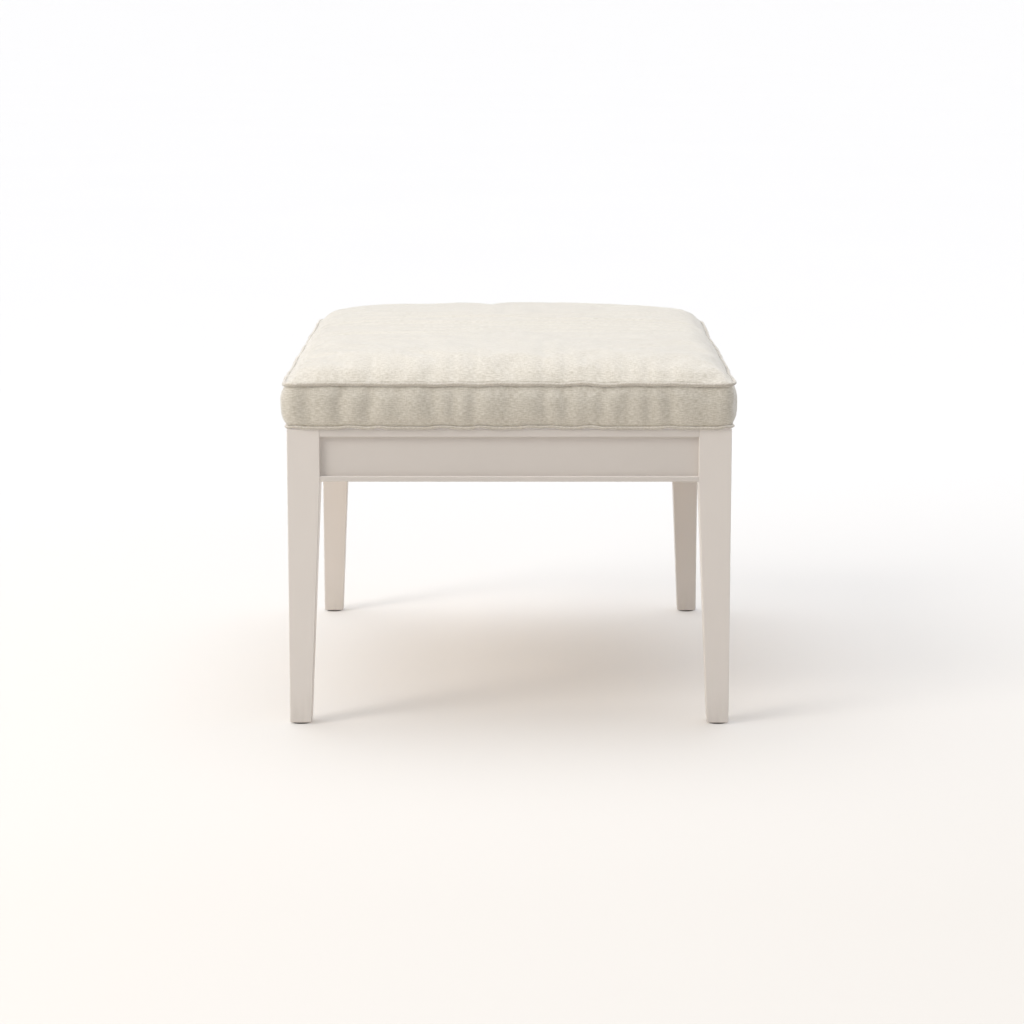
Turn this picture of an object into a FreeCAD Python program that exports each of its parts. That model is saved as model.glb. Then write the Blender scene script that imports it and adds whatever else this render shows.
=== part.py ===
import FreeCAD, Part

import math
import os

from FreeCAD import Placement, Rotation, Vector

# A piano bench: a painted hardwood frame on four tapered legs, and a loose box cushion
# with piped edges and a zip along its rear. Millimetres, +Z up. The origin is on the floor
# under the middle of the frame. X runs across the bench and Y along it, front at -Y.

# ---- Overall sizes of the frame
BENCH_WIDTH = 570.0
BENCH_LENGTH = 760.0
FRAME_HEIGHT = 387.0

# ---- Legs: square at the top, tapered on their two inner faces below the aprons
LEG_TOP = 42.0
LEG_FOOT = 28.0
LEG_ARRIS = 1.2
FOOT_ARRIS = 1.5
LEG_INNER_CHAMFER = 14.0

# ---- Glides under the feet
GLIDE_INSET = 2.0
GLIDE_HEIGHT = 2.0
GLIDE_EDGE = 0.6
GLIDE_RECESS_DEPTH = 1.0
NAIL_RADIUS = 1.25
NAIL_LENGTH = 18.0
NAIL_HEAD_RADIUS = 2.9
NAIL_HEAD_HEIGHT = 0.6

# ---- Aprons: a board set back between planted beads, stub-tenoned into the legs
APRON_HEIGHT = 67.5
APRON_THICKNESS = 20.0
PANEL_RECESS = 7.0
TOP_BEAD_HEIGHT = 9.5
BOTTOM_BEAD_HEIGHT = 6.5
BEAD_ARRIS = 0.8
TENON_THICKNESS = 8.0
TENON_BOLT_GAP = 3.0
TENON_SHOULDER = 10.0

# ---- Corner blocks and the bolts that pull the legs in
BLOCK_THICKNESS = 30.0
BLOCK_SET_UP = 10.5
BLOCK_GAP = 2.0
BOLT_RADIUS = 4.0
BOLT_IN_LEG = 36.0
BOLT_SPARE = 4.0
WASHER_RADIUS = 11.0
WASHER_THICKNESS = 1.6
NUT_ACROSS_FLATS = 13.0
NUT_HEIGHT = 6.5
BLOCK_SCREW_INSET = 16.0
BLOCK_SCREW_SEAT = 9.0
BLOCK_SCREW_SPREAD = 12.0

# ---- Deck under the cushion, and what carries it
DECK_THICKNESS = 12.0
CLEAT_SIZE = 20.0
CLEAT_GAP = 3.0
RAIL_THICKNESS = 20.0
RAIL_SET_UP = 15.5
HOUSING_DEPTH = 6.0

# ---- Screws
SCREW_LENGTH = 30.0
BLOCK_SCREW_LENGTH = 24.0
SCREW_RADIUS = 2.0
SCREW_HEAD_RADIUS = 4.0
SCREW_HEAD_HEIGHT = 2.4
SCREW_POINT = 4.0
SCREW_SLOT_DEPTH = 1.2
SCREW_SLOT_WIDTH = 0.9
SCREW_SLOT_LENGTH = 4.8
CLEAT_SCREW_INSET = 30.0
DECK_SCREW_INSET = 60.0
RAIL_SCREW_INSET = 120.0
DRIVER_ROOM = 12.0

# ---- Cushion: foam and fibre in a cover of top, bottom and band, piped at both seams
CUSHION_OVERHANG = 1.5
CUSHION_CORNER = 14.0
WELT_RADIUS = 2.55
WELT_CORD_RADIUS = 1.6
BOX_DEPTH = 56.0
BAND_PROUD = 2.5
CLOTH = 1.2
CROWN_STEPS = ((24.0, 18.0), (80.0, 34.0), (150.0, 41.0))
FOAM_INSET = 5.0
BOTTOM_FIBRE = 6.0
TOP_FIBRE = 5.0

# ---- Zip in the rear of the cover
ZIP_MARGIN = 45.0
ZIP_OPENING = 10.0
ZIP_SET_IN = 1.1
TAPE_HEIGHT = 13.0
TAPE_THICKNESS = 0.6
COIL_GAP = 1.2
COIL_HEIGHT = 2.2
COIL_THICKNESS = 1.5
STOP_LENGTH = 3.0
SLIDER_LENGTH = 11.0
SLIDER_HEIGHT = 7.6
SLIDER_PLATE = 0.9
SLIDER_POST = 0.8
SLIDER_POST_LENGTH = 3.0
LUG_LENGTH = 2.6
LUG_THICKNESS = 0.9
LUG_SPREAD = 4.4
PIN_RADIUS = 0.6
PULL_LENGTH = 24.0
PULL_THICKNESS = 1.0
PULL_TIP_LENGTH = 12.0
PULL_TIP_OVERHANG = 0.93
PULL_EYE_RADIUS = 1.15

# ---- Clearances, and how far a cutting shape runs past the face it cuts
CUT_OVERRUN = 1.0
JOINT_CLEARANCE = 0.1
MORTISE_SPARE = 1.0
DRILL_CLEARANCE = 0.05
DECK_CLEARANCE = 1.0
CUSHION_CLEARANCE = 0.3
ZIP_CLEARANCE = 0.2
PIN_CLEARANCE = 0.08

# ---- Heights and half sizes that follow from the sizes above
HALF_WIDTH = BENCH_WIDTH / 2
HALF_LENGTH = BENCH_LENGTH / 2
APRON_BOTTOM = FRAME_HEIGHT - APRON_HEIGHT
APRON_INNER = PANEL_RECESS + APRON_THICKNESS
DECK_BOTTOM = FRAME_HEIGHT - DECK_THICKNESS
BLOCK_BOTTOM = APRON_BOTTOM + BLOCK_SET_UP
BOLT_HEIGHT = (BLOCK_BOTTOM + DECK_BOTTOM) / 2
RAIL_BOTTOM = APRON_BOTTOM + RAIL_SET_UP
TENON_NEAR = APRON_INNER - APRON_THICKNESS / 2 - TENON_THICKNESS / 2
TENON_FAR = TENON_NEAR + TENON_THICKNESS
TENON_LENGTH = LEG_TOP - TENON_FAR - BOLT_RADIUS * math.sqrt(2) - TENON_BOLT_GAP
GLIDE_RADIUS = LEG_FOOT / 2 - GLIDE_INSET
CHAMFER_SUM = 2 * LEG_TOP - LEG_INNER_CHAMFER
BLOCK_OUTER_SUM = CHAMFER_SUM + BLOCK_GAP * math.sqrt(2)
BLOCK_INNER_SUM = BLOCK_OUTER_SUM + BLOCK_THICKNESS * math.sqrt(2)
BLOCK_REACH = BLOCK_INNER_SUM - APRON_INNER
BLOCK_SCREW_OFFSET = BLOCK_REACH - BLOCK_SCREW_INSET
CUSHION_BOTTOM = FRAME_HEIGHT + CUSHION_CLEARANCE
BOTTOM_SEAM = CUSHION_BOTTOM + WELT_RADIUS
TOP_SEAM = BOTTOM_SEAM + BOX_DEPTH
ZIP_HEIGHT = (BOTTOM_SEAM + TOP_SEAM) / 2
FIBRE_BOTTOM = CUSHION_BOTTOM + CLOTH
FOAM_BOTTOM = FIBRE_BOTTOM + BOTTOM_FIBRE
FOAM_TOP = TOP_SEAM - TOP_FIBRE
ZIP_LENGTH = BENCH_WIDTH - 2 * ZIP_MARGIN

CORNERS = ("front_left", "front_right", "rear_right", "rear_left")
SIDES = ("front", "right", "rear", "left")


# ---- Placing: a corner piece is drawn with the leg's outer corner at the origin, and a
# side piece with the frame's outer face on Y = 0 and its middle on X = 0, inwards +Y.
def at_corner(shape, corner):
    """Turns a front left corner piece to one of the four corners."""
    x_sign = (-1, 1, 1, -1)[corner]
    y_sign = (-1, -1, 1, 1)[corner]
    turn = Rotation(Vector(0, 0, 1), 90 * corner)
    place = Placement(Vector(x_sign * HALF_WIDTH, y_sign * HALF_LENGTH, 0), turn)
    return shape.transformed(place.toMatrix())


def at_side(shape, side):
    """Turns a front side piece to one of the four sides."""
    half = HALF_WIDTH if side % 2 else HALF_LENGTH
    turn = Rotation(Vector(0, 0, 1), 90 * side)
    place = Placement(turn.multVec(Vector(0, -half, 0)), turn)
    return shape.transformed(place.toMatrix())


def side_span(side):
    """Overall length of the frame along a side."""
    return BENCH_LENGTH if side % 2 else BENCH_WIDTH


# ---- Plain shapes
def box(x0, x1, y0, y1, z0, z1):
    return Part.makeBox(x1 - x0, y1 - y0, z1 - z0, Vector(x0, y0, z0))


def prism(points, z0, z1):
    """Upright prism on a polygon of (x, y) points."""
    ring = [Vector(x, y, z0) for x, y in points]
    face = Part.Face(Part.makePolygon(ring + ring[:1]))
    return face.extrude(Vector(0, 0, z1 - z0))


def rounded_rectangle(x0, x1, y0, y1, radius, z):
    """Closed wire of four straights and four quarter arcs, starting at the lower right."""
    centres = ((x1 - radius, y0 + radius), (x1 - radius, y1 - radius),
               (x0 + radius, y1 - radius), (x0 + radius, y0 + radius))
    arcs = []
    for quarter, (cx, cy) in enumerate(centres):
        angles = [math.radians(90 * quarter - 90 + turn) for turn in (0, 45, 90)]
        ends = [Vector(cx + radius * math.cos(a), cy + radius * math.sin(a), z) for a in angles]
        arcs.append(Part.Arc(*ends).toShape())
    edges = []
    for quarter, arc in enumerate(arcs):
        following = arcs[(quarter + 1) % 4]
        edges.append(arc)
        edges.append(Part.makeLine(arc.Vertexes[-1].Point, following.Vertexes[0].Point))
    return Part.Wire(edges)


def eased(shape, radius, wanted):
    """Rounds the edges along X whose middle point passes a test."""
    edges = []
    for edge in shape.Edges:
        along = edge.Vertexes[-1].Point - edge.Vertexes[0].Point
        across = math.hypot(along.y, along.z)
        if across < abs(along.x) and wanted(edge.CenterOfMass):
            edges.append(edge)
    return shape.makeFillet(radius, edges)


def placed(shape, point, outward):
    """Turns a fastener drawn with its head facing +Z, and puts its head at a point."""
    place = Placement(point, Rotation(Vector(0, 0, 1), outward))
    return shape.transformed(place.toMatrix())


# ---- Screws: drawn with the top of the head at the origin, facing +Z
def screw_cone(extra):
    """Countersunk head."""
    return Part.makeCone(SCREW_RADIUS + extra, SCREW_HEAD_RADIUS + extra, SCREW_HEAD_HEIGHT,
                         Vector(0, 0, -SCREW_HEAD_HEIGHT))


def screw(length):
    """Countersunk wood screw with a cross recess."""
    shank_length = length - SCREW_HEAD_HEIGHT - SCREW_POINT
    shank = Part.makeCylinder(SCREW_RADIUS, shank_length, Vector(0, 0, SCREW_POINT - length))
    point = Part.makeCone(0, SCREW_RADIUS, SCREW_POINT, Vector(0, 0, -length))
    body = screw_cone(0).multiFuse([shank, point]).removeSplitter()
    reach = SCREW_SLOT_LENGTH / 2
    half = SCREW_SLOT_WIDTH / 2
    slot = box(-reach, reach, -half, half, -SCREW_SLOT_DEPTH, SCREW_HEAD_HEIGHT)
    cross = box(-half, half, -reach, reach, -SCREW_SLOT_DEPTH, SCREW_HEAD_HEIGHT)
    return body.cut(slot).cut(cross)


def screw_drill(length):
    """The hole a screw needs, with room for the driver above its head."""
    hole = Part.makeCylinder(SCREW_RADIUS + DRILL_CLEARANCE, length, Vector(0, 0, -length))
    room = Part.makeCylinder(SCREW_HEAD_RADIUS + DRILL_CLEARANCE, DRIVER_ROOM)
    return hole.multiFuse([screw_cone(DRILL_CLEARANCE), room]).removeSplitter()


def block_screw_seats():
    """(point, outward) of the four screws of the front left corner block."""
    seats = []
    for rise in (-BLOCK_SCREW_SPREAD, BLOCK_SCREW_SPREAD):
        height = BOLT_HEIGHT + rise
        depth = APRON_INNER + BLOCK_SCREW_SEAT
        seats.append((Vector(BLOCK_SCREW_OFFSET, depth, height), Vector(0, 1, 0)))
        seats.append((Vector(depth, BLOCK_SCREW_OFFSET, height), Vector(1, 0, 0)))
    return seats


def cleat_runs():
    """(side, start, end) of each cleat along its side; the long sides part at the rail."""
    runs = []
    for side in range(4):
        reach = side_span(side) / 2 - BLOCK_REACH - CLEAT_GAP
        if side % 2:
            middle = RAIL_THICKNESS / 2
            runs += [(side, -reach, -middle), (side, middle, reach)]
        else:
            runs.append((side, -reach, reach))
    return runs


def cleat_screw_seats():
    """Screws that go through each cleat into its apron."""
    height = DECK_BOTTOM - CLEAT_SIZE / 2
    seats = []
    for side, start, end in cleat_runs():
        for along in (start + CLEAT_SCREW_INSET, end - CLEAT_SCREW_INSET):
            seats.append((side, Vector(along, APRON_INNER + CLEAT_SIZE, height), Vector(0, 1, 0)))
    return seats


def deck_screw_seats():
    """Screws that go down through the deck into the cleats."""
    seats = []
    for side, start, end in cleat_runs():
        for along in (start + DECK_SCREW_INSET, end - DECK_SCREW_INSET):
            point = Vector(along, APRON_INNER + CLEAT_SIZE / 2, FRAME_HEIGHT)
            seats.append((side, point, Vector(0, 0, 1)))
    return seats


def at_block_screws(tool):
    """A tool or screw at every corner block seat."""
    group = []
    for corner in range(4):
        group += [at_corner(placed(tool, point, out), corner) for point, out in block_screw_seats()]
    return group


def at_cleat_screws(tool):
    """A tool or screw at every cleat seat."""
    return [at_side(placed(tool, point, out), side) for side, point, out in cleat_screw_seats()]


def at_deck_screws(tool):
    """A tool or screw at every deck seat: over the cleats, and two over the centre rail."""
    group = [at_side(placed(tool, point, out), side) for side, point, out in deck_screw_seats()]
    for x in (RAIL_SCREW_INSET - HALF_WIDTH, HALF_WIDTH - RAIL_SCREW_INSET):
        group.append(placed(tool, Vector(x, 0, FRAME_HEIGHT), Vector(0, 0, 1)))
    return group


def drilled(shape, drills):
    """Cuts the drills that reach a piece."""
    near = [drill for drill in drills if drill.BoundBox.intersect(shape.BoundBox)]
    return shape.cut(near) if near else shape


# ---- Hanger bolts: each axis runs through the leg's outer corner at 45 degrees
DIAGONAL = Vector(1, 1, 0).normalize()


def on_diagonal(shape, distance):
    """Puts a piece drawn along +Z on the bolt's axis, so far in from the outer corner."""
    point = DIAGONAL * distance + Vector(0, 0, BOLT_HEIGHT)
    return placed(shape, point, DIAGONAL)


def bolt_start():
    return CHAMFER_SUM / math.sqrt(2) - BOLT_IN_LEG


def nut_seat():
    return BLOCK_INNER_SUM / math.sqrt(2)


def hanger_bolt():
    """Threaded bolt, plain here, with a pointed end in the leg."""
    end = nut_seat() + WASHER_THICKNESS + NUT_HEIGHT + BOLT_SPARE
    length = end - bolt_start()
    point = Part.makeCone(0, BOLT_RADIUS, SCREW_POINT)
    shank = Part.makeCylinder(BOLT_RADIUS, length - SCREW_POINT, Vector(0, 0, SCREW_POINT))
    return on_diagonal(point.fuse(shank).removeSplitter(), bolt_start())


def bolt_drill():
    length = nut_seat() + NUT_HEIGHT - bolt_start()
    return on_diagonal(Part.makeCylinder(BOLT_RADIUS + DRILL_CLEARANCE, length), bolt_start())


def washer():
    disc = Part.makeCylinder(WASHER_RADIUS, WASHER_THICKNESS)
    hole = Part.makeCylinder(BOLT_RADIUS + DRILL_CLEARANCE, WASHER_THICKNESS)
    return on_diagonal(disc.cut(hole), nut_seat())


def hex_nut():
    radius = NUT_ACROSS_FLATS / math.sqrt(3)
    points = [(radius * math.cos(math.radians(a)), radius * math.sin(math.radians(a)))
              for a in range(0, 360, 60)]
    hole = Part.makeCylinder(BOLT_RADIUS + DRILL_CLEARANCE, NUT_HEIGHT)
    return on_diagonal(prism(points, 0, NUT_HEIGHT).cut(hole), nut_seat() + WASHER_THICKNESS)


def at_corners(shape):
    return [at_corner(shape, corner) for corner in range(4)]


# ---- Frame pieces
def leg():
    """Front left leg: outer faces upright, inner faces tapered below the apron."""
    sections = ((GLIDE_HEIGHT, FOOT_ARRIS, LEG_FOOT - FOOT_ARRIS),
                (GLIDE_HEIGHT + FOOT_ARRIS, 0, LEG_FOOT),
                (APRON_BOTTOM, 0, LEG_TOP),
                (FRAME_HEIGHT, 0, LEG_TOP))
    wires = [rounded_rectangle(low, high, low, high, LEG_ARRIS, z) for z, low, high in sections]
    body = Part.makeLoft(wires, True, True)
    start = LEG_TOP - LEG_INNER_CHAMFER
    past = LEG_TOP + CUT_OVERRUN
    corner = ((LEG_TOP, start), (past, start), (past, past), (start, past), (start, LEG_TOP))
    body = body.cut(prism(corner, BLOCK_BOTTOM - BLOCK_GAP, FRAME_HEIGHT))
    near = TENON_NEAR - JOINT_CLEARANCE
    far = TENON_FAR + JOINT_CLEARANCE
    depth = LEG_TOP - TENON_LENGTH - MORTISE_SPARE
    low = APRON_BOTTOM + TENON_SHOULDER - JOINT_CLEARANCE
    high = FRAME_HEIGHT - TENON_SHOULDER + JOINT_CLEARANCE
    body = body.cut(box(depth, past, near, far, low, high))
    return body.cut(box(near, far, depth, past, low, high))


def foot_centre():
    """A glide sits under the middle of the foot."""
    return Vector(LEG_FOOT / 2, LEG_FOOT / 2, 0)


def nail_drill():
    length = GLIDE_HEIGHT + NAIL_LENGTH
    return Part.makeCylinder(NAIL_RADIUS + DRILL_CLEARANCE, length, foot_centre())


def glide():
    """Round glide with its lower edge eased and a recess for the nail's head."""
    disc = Part.makeCylinder(GLIDE_RADIUS, GLIDE_HEIGHT, foot_centre())
    rims = [edge for edge in disc.Edges if edge.BoundBox.ZMax < GLIDE_EDGE]
    disc = disc.makeFillet(GLIDE_EDGE, rims)
    recess = Part.makeCylinder(NAIL_HEAD_RADIUS + JOINT_CLEARANCE, GLIDE_RECESS_DEPTH, foot_centre())
    return disc.cut([recess, nail_drill()])


def glide_nail():
    seat = GLIDE_RECESS_DEPTH
    head = Part.makeCylinder(NAIL_HEAD_RADIUS, NAIL_HEAD_HEIGHT,
                             foot_centre() + Vector(0, 0, seat - NAIL_HEAD_HEIGHT))
    shank = Part.makeCylinder(NAIL_RADIUS, NAIL_LENGTH, foot_centre() + Vector(0, 0, seat))
    return head.fuse(shank).removeSplitter()


def clear_span(side):
    """Half the distance between two legs along a side."""
    return side_span(side) / 2 - LEG_TOP


def apron(side):
    """Board set back from the leg's face, with a stub tenon at each end."""
    half = clear_span(side)
    board = box(-half, half, PANEL_RECESS, APRON_INNER, APRON_BOTTOM, FRAME_HEIGHT)
    reach = half + TENON_LENGTH
    tenon = box(-reach, reach, TENON_NEAR, TENON_FAR,
                APRON_BOTTOM + TENON_SHOULDER, FRAME_HEIGHT - TENON_SHOULDER)
    body = board.fuse(tenon).removeSplitter()
    if side % 2:
        width = RAIL_THICKNESS / 2 + JOINT_CLEARANCE
        body = body.cut(box(-width, width, APRON_INNER - HOUSING_DEPTH, APRON_INNER,
                            RAIL_BOTTOM, FRAME_HEIGHT))
    return body


def top_bead(side):
    """Strip planted along the top of an apron, flush with the legs."""
    half = clear_span(side)
    low = FRAME_HEIGHT - TOP_BEAD_HEIGHT
    strip = box(-half, half, 0, PANEL_RECESS, low, FRAME_HEIGHT)
    return eased(strip, BEAD_ARRIS, lambda middle: middle.y < BEAD_ARRIS and middle.z < low + BEAD_ARRIS)


def bottom_bead(side):
    """Strip planted along the bottom of an apron, flush with the legs."""
    half = clear_span(side)
    strip = box(-half, half, 0, PANEL_RECESS, APRON_BOTTOM, APRON_BOTTOM + BOTTOM_BEAD_HEIGHT)
    return eased(strip, BEAD_ARRIS, lambda middle: middle.y < BEAD_ARRIS)


def corner_block():
    """Front left block, cut at 45 degrees between two aprons."""
    points = ((BLOCK_OUTER_SUM - APRON_INNER, APRON_INNER), (BLOCK_REACH, APRON_INNER),
              (APRON_INNER, BLOCK_REACH), (APRON_INNER, BLOCK_OUTER_SUM - APRON_INNER))
    return prism(points, BLOCK_BOTTOM, DECK_BOTTOM)


def cleat(start, end):
    """Square strip under the edge of the deck."""
    return box(start, end, APRON_INNER, APRON_INNER + CLEAT_SIZE, DECK_BOTTOM - CLEAT_SIZE, DECK_BOTTOM)


def centre_rail():
    """Rail across the middle under the deck, housed in the two long aprons."""
    reach = HALF_WIDTH - APRON_INNER + HOUSING_DEPTH
    half = RAIL_THICKNESS / 2
    return box(-reach, reach, -half, half, RAIL_BOTTOM, DECK_BOTTOM)


def seat_deck():
    """Plywood deck inside the aprons, notched round the four legs."""
    half_x = HALF_WIDTH - APRON_INNER - DECK_CLEARANCE
    half_y = HALF_LENGTH - APRON_INNER - DECK_CLEARANCE
    board = box(-half_x, half_x, -half_y, half_y, DECK_BOTTOM, FRAME_HEIGHT)
    reach = LEG_TOP + DECK_CLEARANCE
    notch = box(0, reach, 0, reach, DECK_BOTTOM, FRAME_HEIGHT)
    return board.cut(at_corners(notch))


# ---- Cushion pieces
def outline(inset, z):
    """Rounded rectangle that lies so far inside the seam line."""
    half_x = HALF_WIDTH + CUSHION_OVERHANG - inset
    half_y = HALF_LENGTH + CUSHION_OVERHANG - inset
    radius = max(CUSHION_CORNER - inset, CUSHION_CORNER / 2)
    return rounded_rectangle(-half_x, half_x, -half_y, half_y, radius, z)


def slab(inset, z0, z1):
    """Upright solid on the cushion's outline."""
    return Part.Face(outline(inset, z0)).extrude(Vector(0, 0, z1 - z0))


def crown(inset, drop):
    """Domed top of the cushion in flat steps, from the level of the upper seam."""
    wires = [outline(inset, TOP_SEAM)]
    for step, rise in CROWN_STEPS:
        wires.append(outline(inset + step, TOP_SEAM + rise - drop))
    return Part.makeLoft(wires, True, True)


def cover_top():
    rim = WELT_RADIUS + JOINT_CLEARANCE
    return crown(rim, 0).cut(crown(rim + CLOTH, CLOTH))


def cover_bottom():
    return slab(WELT_RADIUS + JOINT_CLEARANCE, CUSHION_BOTTOM, CUSHION_BOTTOM + CLOTH)


def foam_core():
    return slab(FOAM_INSET, FOAM_BOTTOM, FOAM_TOP)


def fibre_pad_top():
    """Soft fibre that gives the crown, from the foam up to the cover."""
    inset = WELT_RADIUS + JOINT_CLEARANCE + CLOTH
    lower = slab(FOAM_INSET, FOAM_TOP, TOP_SEAM)
    return lower.fuse(crown(max(inset, FOAM_INSET), CLOTH)).removeSplitter()


def fibre_pad_bottom():
    return slab(FOAM_INSET, FIBRE_BOTTOM, FOAM_BOTTOM)


def band_slab(inset, z0, z1):
    """Upright solid as wide as the bulging band on three sides, and set in at the zip."""
    half_x = HALF_WIDTH + CUSHION_OVERHANG + BAND_PROUD - inset
    front = -(HALF_LENGTH + CUSHION_OVERHANG + BAND_PROUD - inset)
    rear = rear_face(ZIP_SET_IN + inset)
    wire = rounded_rectangle(-half_x, half_x, front, rear, CUSHION_CORNER - inset, z0)
    return Part.Face(wire).extrude(Vector(0, 0, z1 - z0))


def band_low():
    return BOTTOM_SEAM + WELT_RADIUS + JOINT_CLEARANCE


def band_high():
    return TOP_SEAM - WELT_RADIUS - JOINT_CLEARANCE


def boxing_band():
    """Side band round the front and both sides, turned a little way onto the rear."""
    ring = band_slab(0, band_low(), band_high()).cut(band_slab(CLOTH, band_low(), band_high()))
    half = ZIP_LENGTH / 2
    return ring.cut(box(-half, half, 0, BENCH_LENGTH, band_low(), band_high()))


def rear_face(inset):
    """Y of an upright face of the rear, measured in from the seam line."""
    return HALF_LENGTH + CUSHION_OVERHANG - inset


def rear_strip(half_length, inset, thickness, z0, z1):
    """Flat upright strip along the rear of the cushion."""
    outer = rear_face(inset)
    return box(-half_length, half_length, outer - thickness, outer, z0, z1)


def mirrored(shape):
    """The lower twin of a piece above the zip's centre line."""
    return shape.mirror(Vector(0, 0, ZIP_HEIGHT), Vector(0, 0, 1))


def zip_band_upper():
    half = ZIP_LENGTH / 2 - JOINT_CLEARANCE
    return rear_strip(half, ZIP_SET_IN, CLOTH, ZIP_HEIGHT + ZIP_OPENING / 2, band_high())


def zip_tape_upper():
    half = ZIP_LENGTH / 2 - JOINT_CLEARANCE
    low = ZIP_HEIGHT + COIL_GAP / 2 + ZIP_CLEARANCE
    return rear_strip(half, ZIP_SET_IN + CLOTH, TAPE_THICKNESS, low, low + TAPE_HEIGHT)


def coil_half():
    """Half the length of the zip's chain, between its end stops."""
    return ZIP_LENGTH / 2 - STOP_LENGTH - JOINT_CLEARANCE


def coil_inset():
    """The chain lies on the outer face of its tapes."""
    return ZIP_SET_IN + CLOTH - COIL_THICKNESS


def zip_chain_upper():
    low = ZIP_HEIGHT + COIL_GAP / 2
    return rear_strip(coil_half(), coil_inset(), COIL_THICKNESS, low, low + COIL_HEIGHT)


def zip_stops():
    """A clip at each end of the chain."""
    reach = COIL_GAP / 2 + COIL_HEIGHT
    outer = rear_face(coil_inset())
    low = coil_half()
    clip = box(low, low + STOP_LENGTH, outer - COIL_THICKNESS, outer, ZIP_HEIGHT - reach, ZIP_HEIGHT + reach)
    return [clip, clip.mirror(Vector(0, 0, 0), Vector(1, 0, 0))]


def slider_centre():
    """The zip is shut with its slider against the stop at the +X end."""
    return coil_half() - SLIDER_LENGTH / 2 - ZIP_CLEARANCE


def plate_outer():
    """Y of the outer face of the slider's front plate."""
    return rear_face(coil_inset()) + ZIP_CLEARANCE + SLIDER_PLATE


def pin_centre():
    """The pull's pin stands clear of the front plate."""
    out = plate_outer() + PULL_EYE_RADIUS + ZIP_CLEARANCE
    return Vector(slider_centre(), out, ZIP_HEIGHT)


def zip_slider():
    """Two plates round the chain, joined by a post, with two lugs and a pin for the pull."""
    centre = slider_centre()
    low = centre - SLIDER_LENGTH / 2
    high = centre + SLIDER_LENGTH / 2
    half = SLIDER_HEIGHT / 2
    front = plate_outer()
    back = rear_face(ZIP_SET_IN + CLOTH + TAPE_THICKNESS) - ZIP_CLEARANCE
    z0 = ZIP_HEIGHT - half
    z1 = ZIP_HEIGHT + half
    plates = [box(low, high, front - SLIDER_PLATE, front, z0, z1),
              box(low, high, back - SLIDER_PLATE, back, z0, z1)]
    post_half = SLIDER_POST / 2
    post = box(high - SLIDER_POST_LENGTH, high, back - SLIDER_PLATE, front,
               ZIP_HEIGHT - post_half, ZIP_HEIGHT + post_half)
    pin_at = pin_centre()
    reach = LUG_SPREAD / 2
    lugs = [box(centre - LUG_LENGTH / 2, centre + LUG_LENGTH / 2, front - SLIDER_PLATE / 2,
                pin_at.y + PIN_RADIUS, ZIP_HEIGHT + side * reach - LUG_THICKNESS / 2,
                ZIP_HEIGHT + side * reach + LUG_THICKNESS / 2) for side in (-1, 1)]
    pin = Part.makeCylinder(PIN_RADIUS, LUG_SPREAD, pin_at - Vector(0, 0, reach))
    return plates[0].multiFuse([plates[1], post, pin] + lugs).removeSplitter()


def zip_pull():
    """Flat tab with an eye round the slider's pin; it lies along the chain towards -X."""
    pin_at = pin_centre()
    half = LUG_SPREAD / 2 - LUG_THICKNESS / 2 - ZIP_CLEARANCE
    eye = Part.makeCylinder(PULL_EYE_RADIUS, 2 * half, pin_at - Vector(0, 0, half))
    low = pin_at.y - PULL_THICKNESS / 2
    end = pin_at.x - PULL_LENGTH
    tab = box(end, pin_at.x, low, low + PULL_THICKNESS, ZIP_HEIGHT - half, ZIP_HEIGHT + half)
    wide = half + PULL_TIP_OVERHANG
    tip = box(end, end + PULL_TIP_LENGTH, low, low + PULL_THICKNESS,
              ZIP_HEIGHT - wide, ZIP_HEIGHT + wide)
    bore = Part.makeCylinder(PIN_RADIUS + PIN_CLEARANCE, 2 * half, pin_at - Vector(0, 0, half))
    return eye.multiFuse([tab, tip]).removeSplitter().cut(bore)


def ring_tube(radius, z):
    """Round tube along the seam line at one height."""
    path = outline(0, z)
    start = path.Edges[0].Vertexes[0].Point
    along = path.Edges[0].tangentAt(path.Edges[0].FirstParameter)
    section = Part.Wire([Part.makeCircle(radius, start, along)])
    return path.makePipeShell([section], True, False)


def welt(z):
    """Strip of the cover's cloth sewn round a cord."""
    return ring_tube(WELT_RADIUS, z).cut(ring_tube(WELT_CORD_RADIUS + DRILL_CLEARANCE, z))


# ---- Writing out
def write(name, shape):
    solids = shape if isinstance(shape, list) else [shape]
    body = solids[0] if len(solids) == 1 else Part.makeCompound(solids)
    for solid in body.Solids:
        if not solid.isValid() or solid.Volume <= 0:
            raise ValueError(name + " is not a sound solid")
    body.exportStep(os.path.join("parts", name + ".step"))
    print(f"{name}: {len(body.Solids)} solid(s), {sum(s.Volume for s in body.Solids) / 1000:.1f} cm3")


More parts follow.
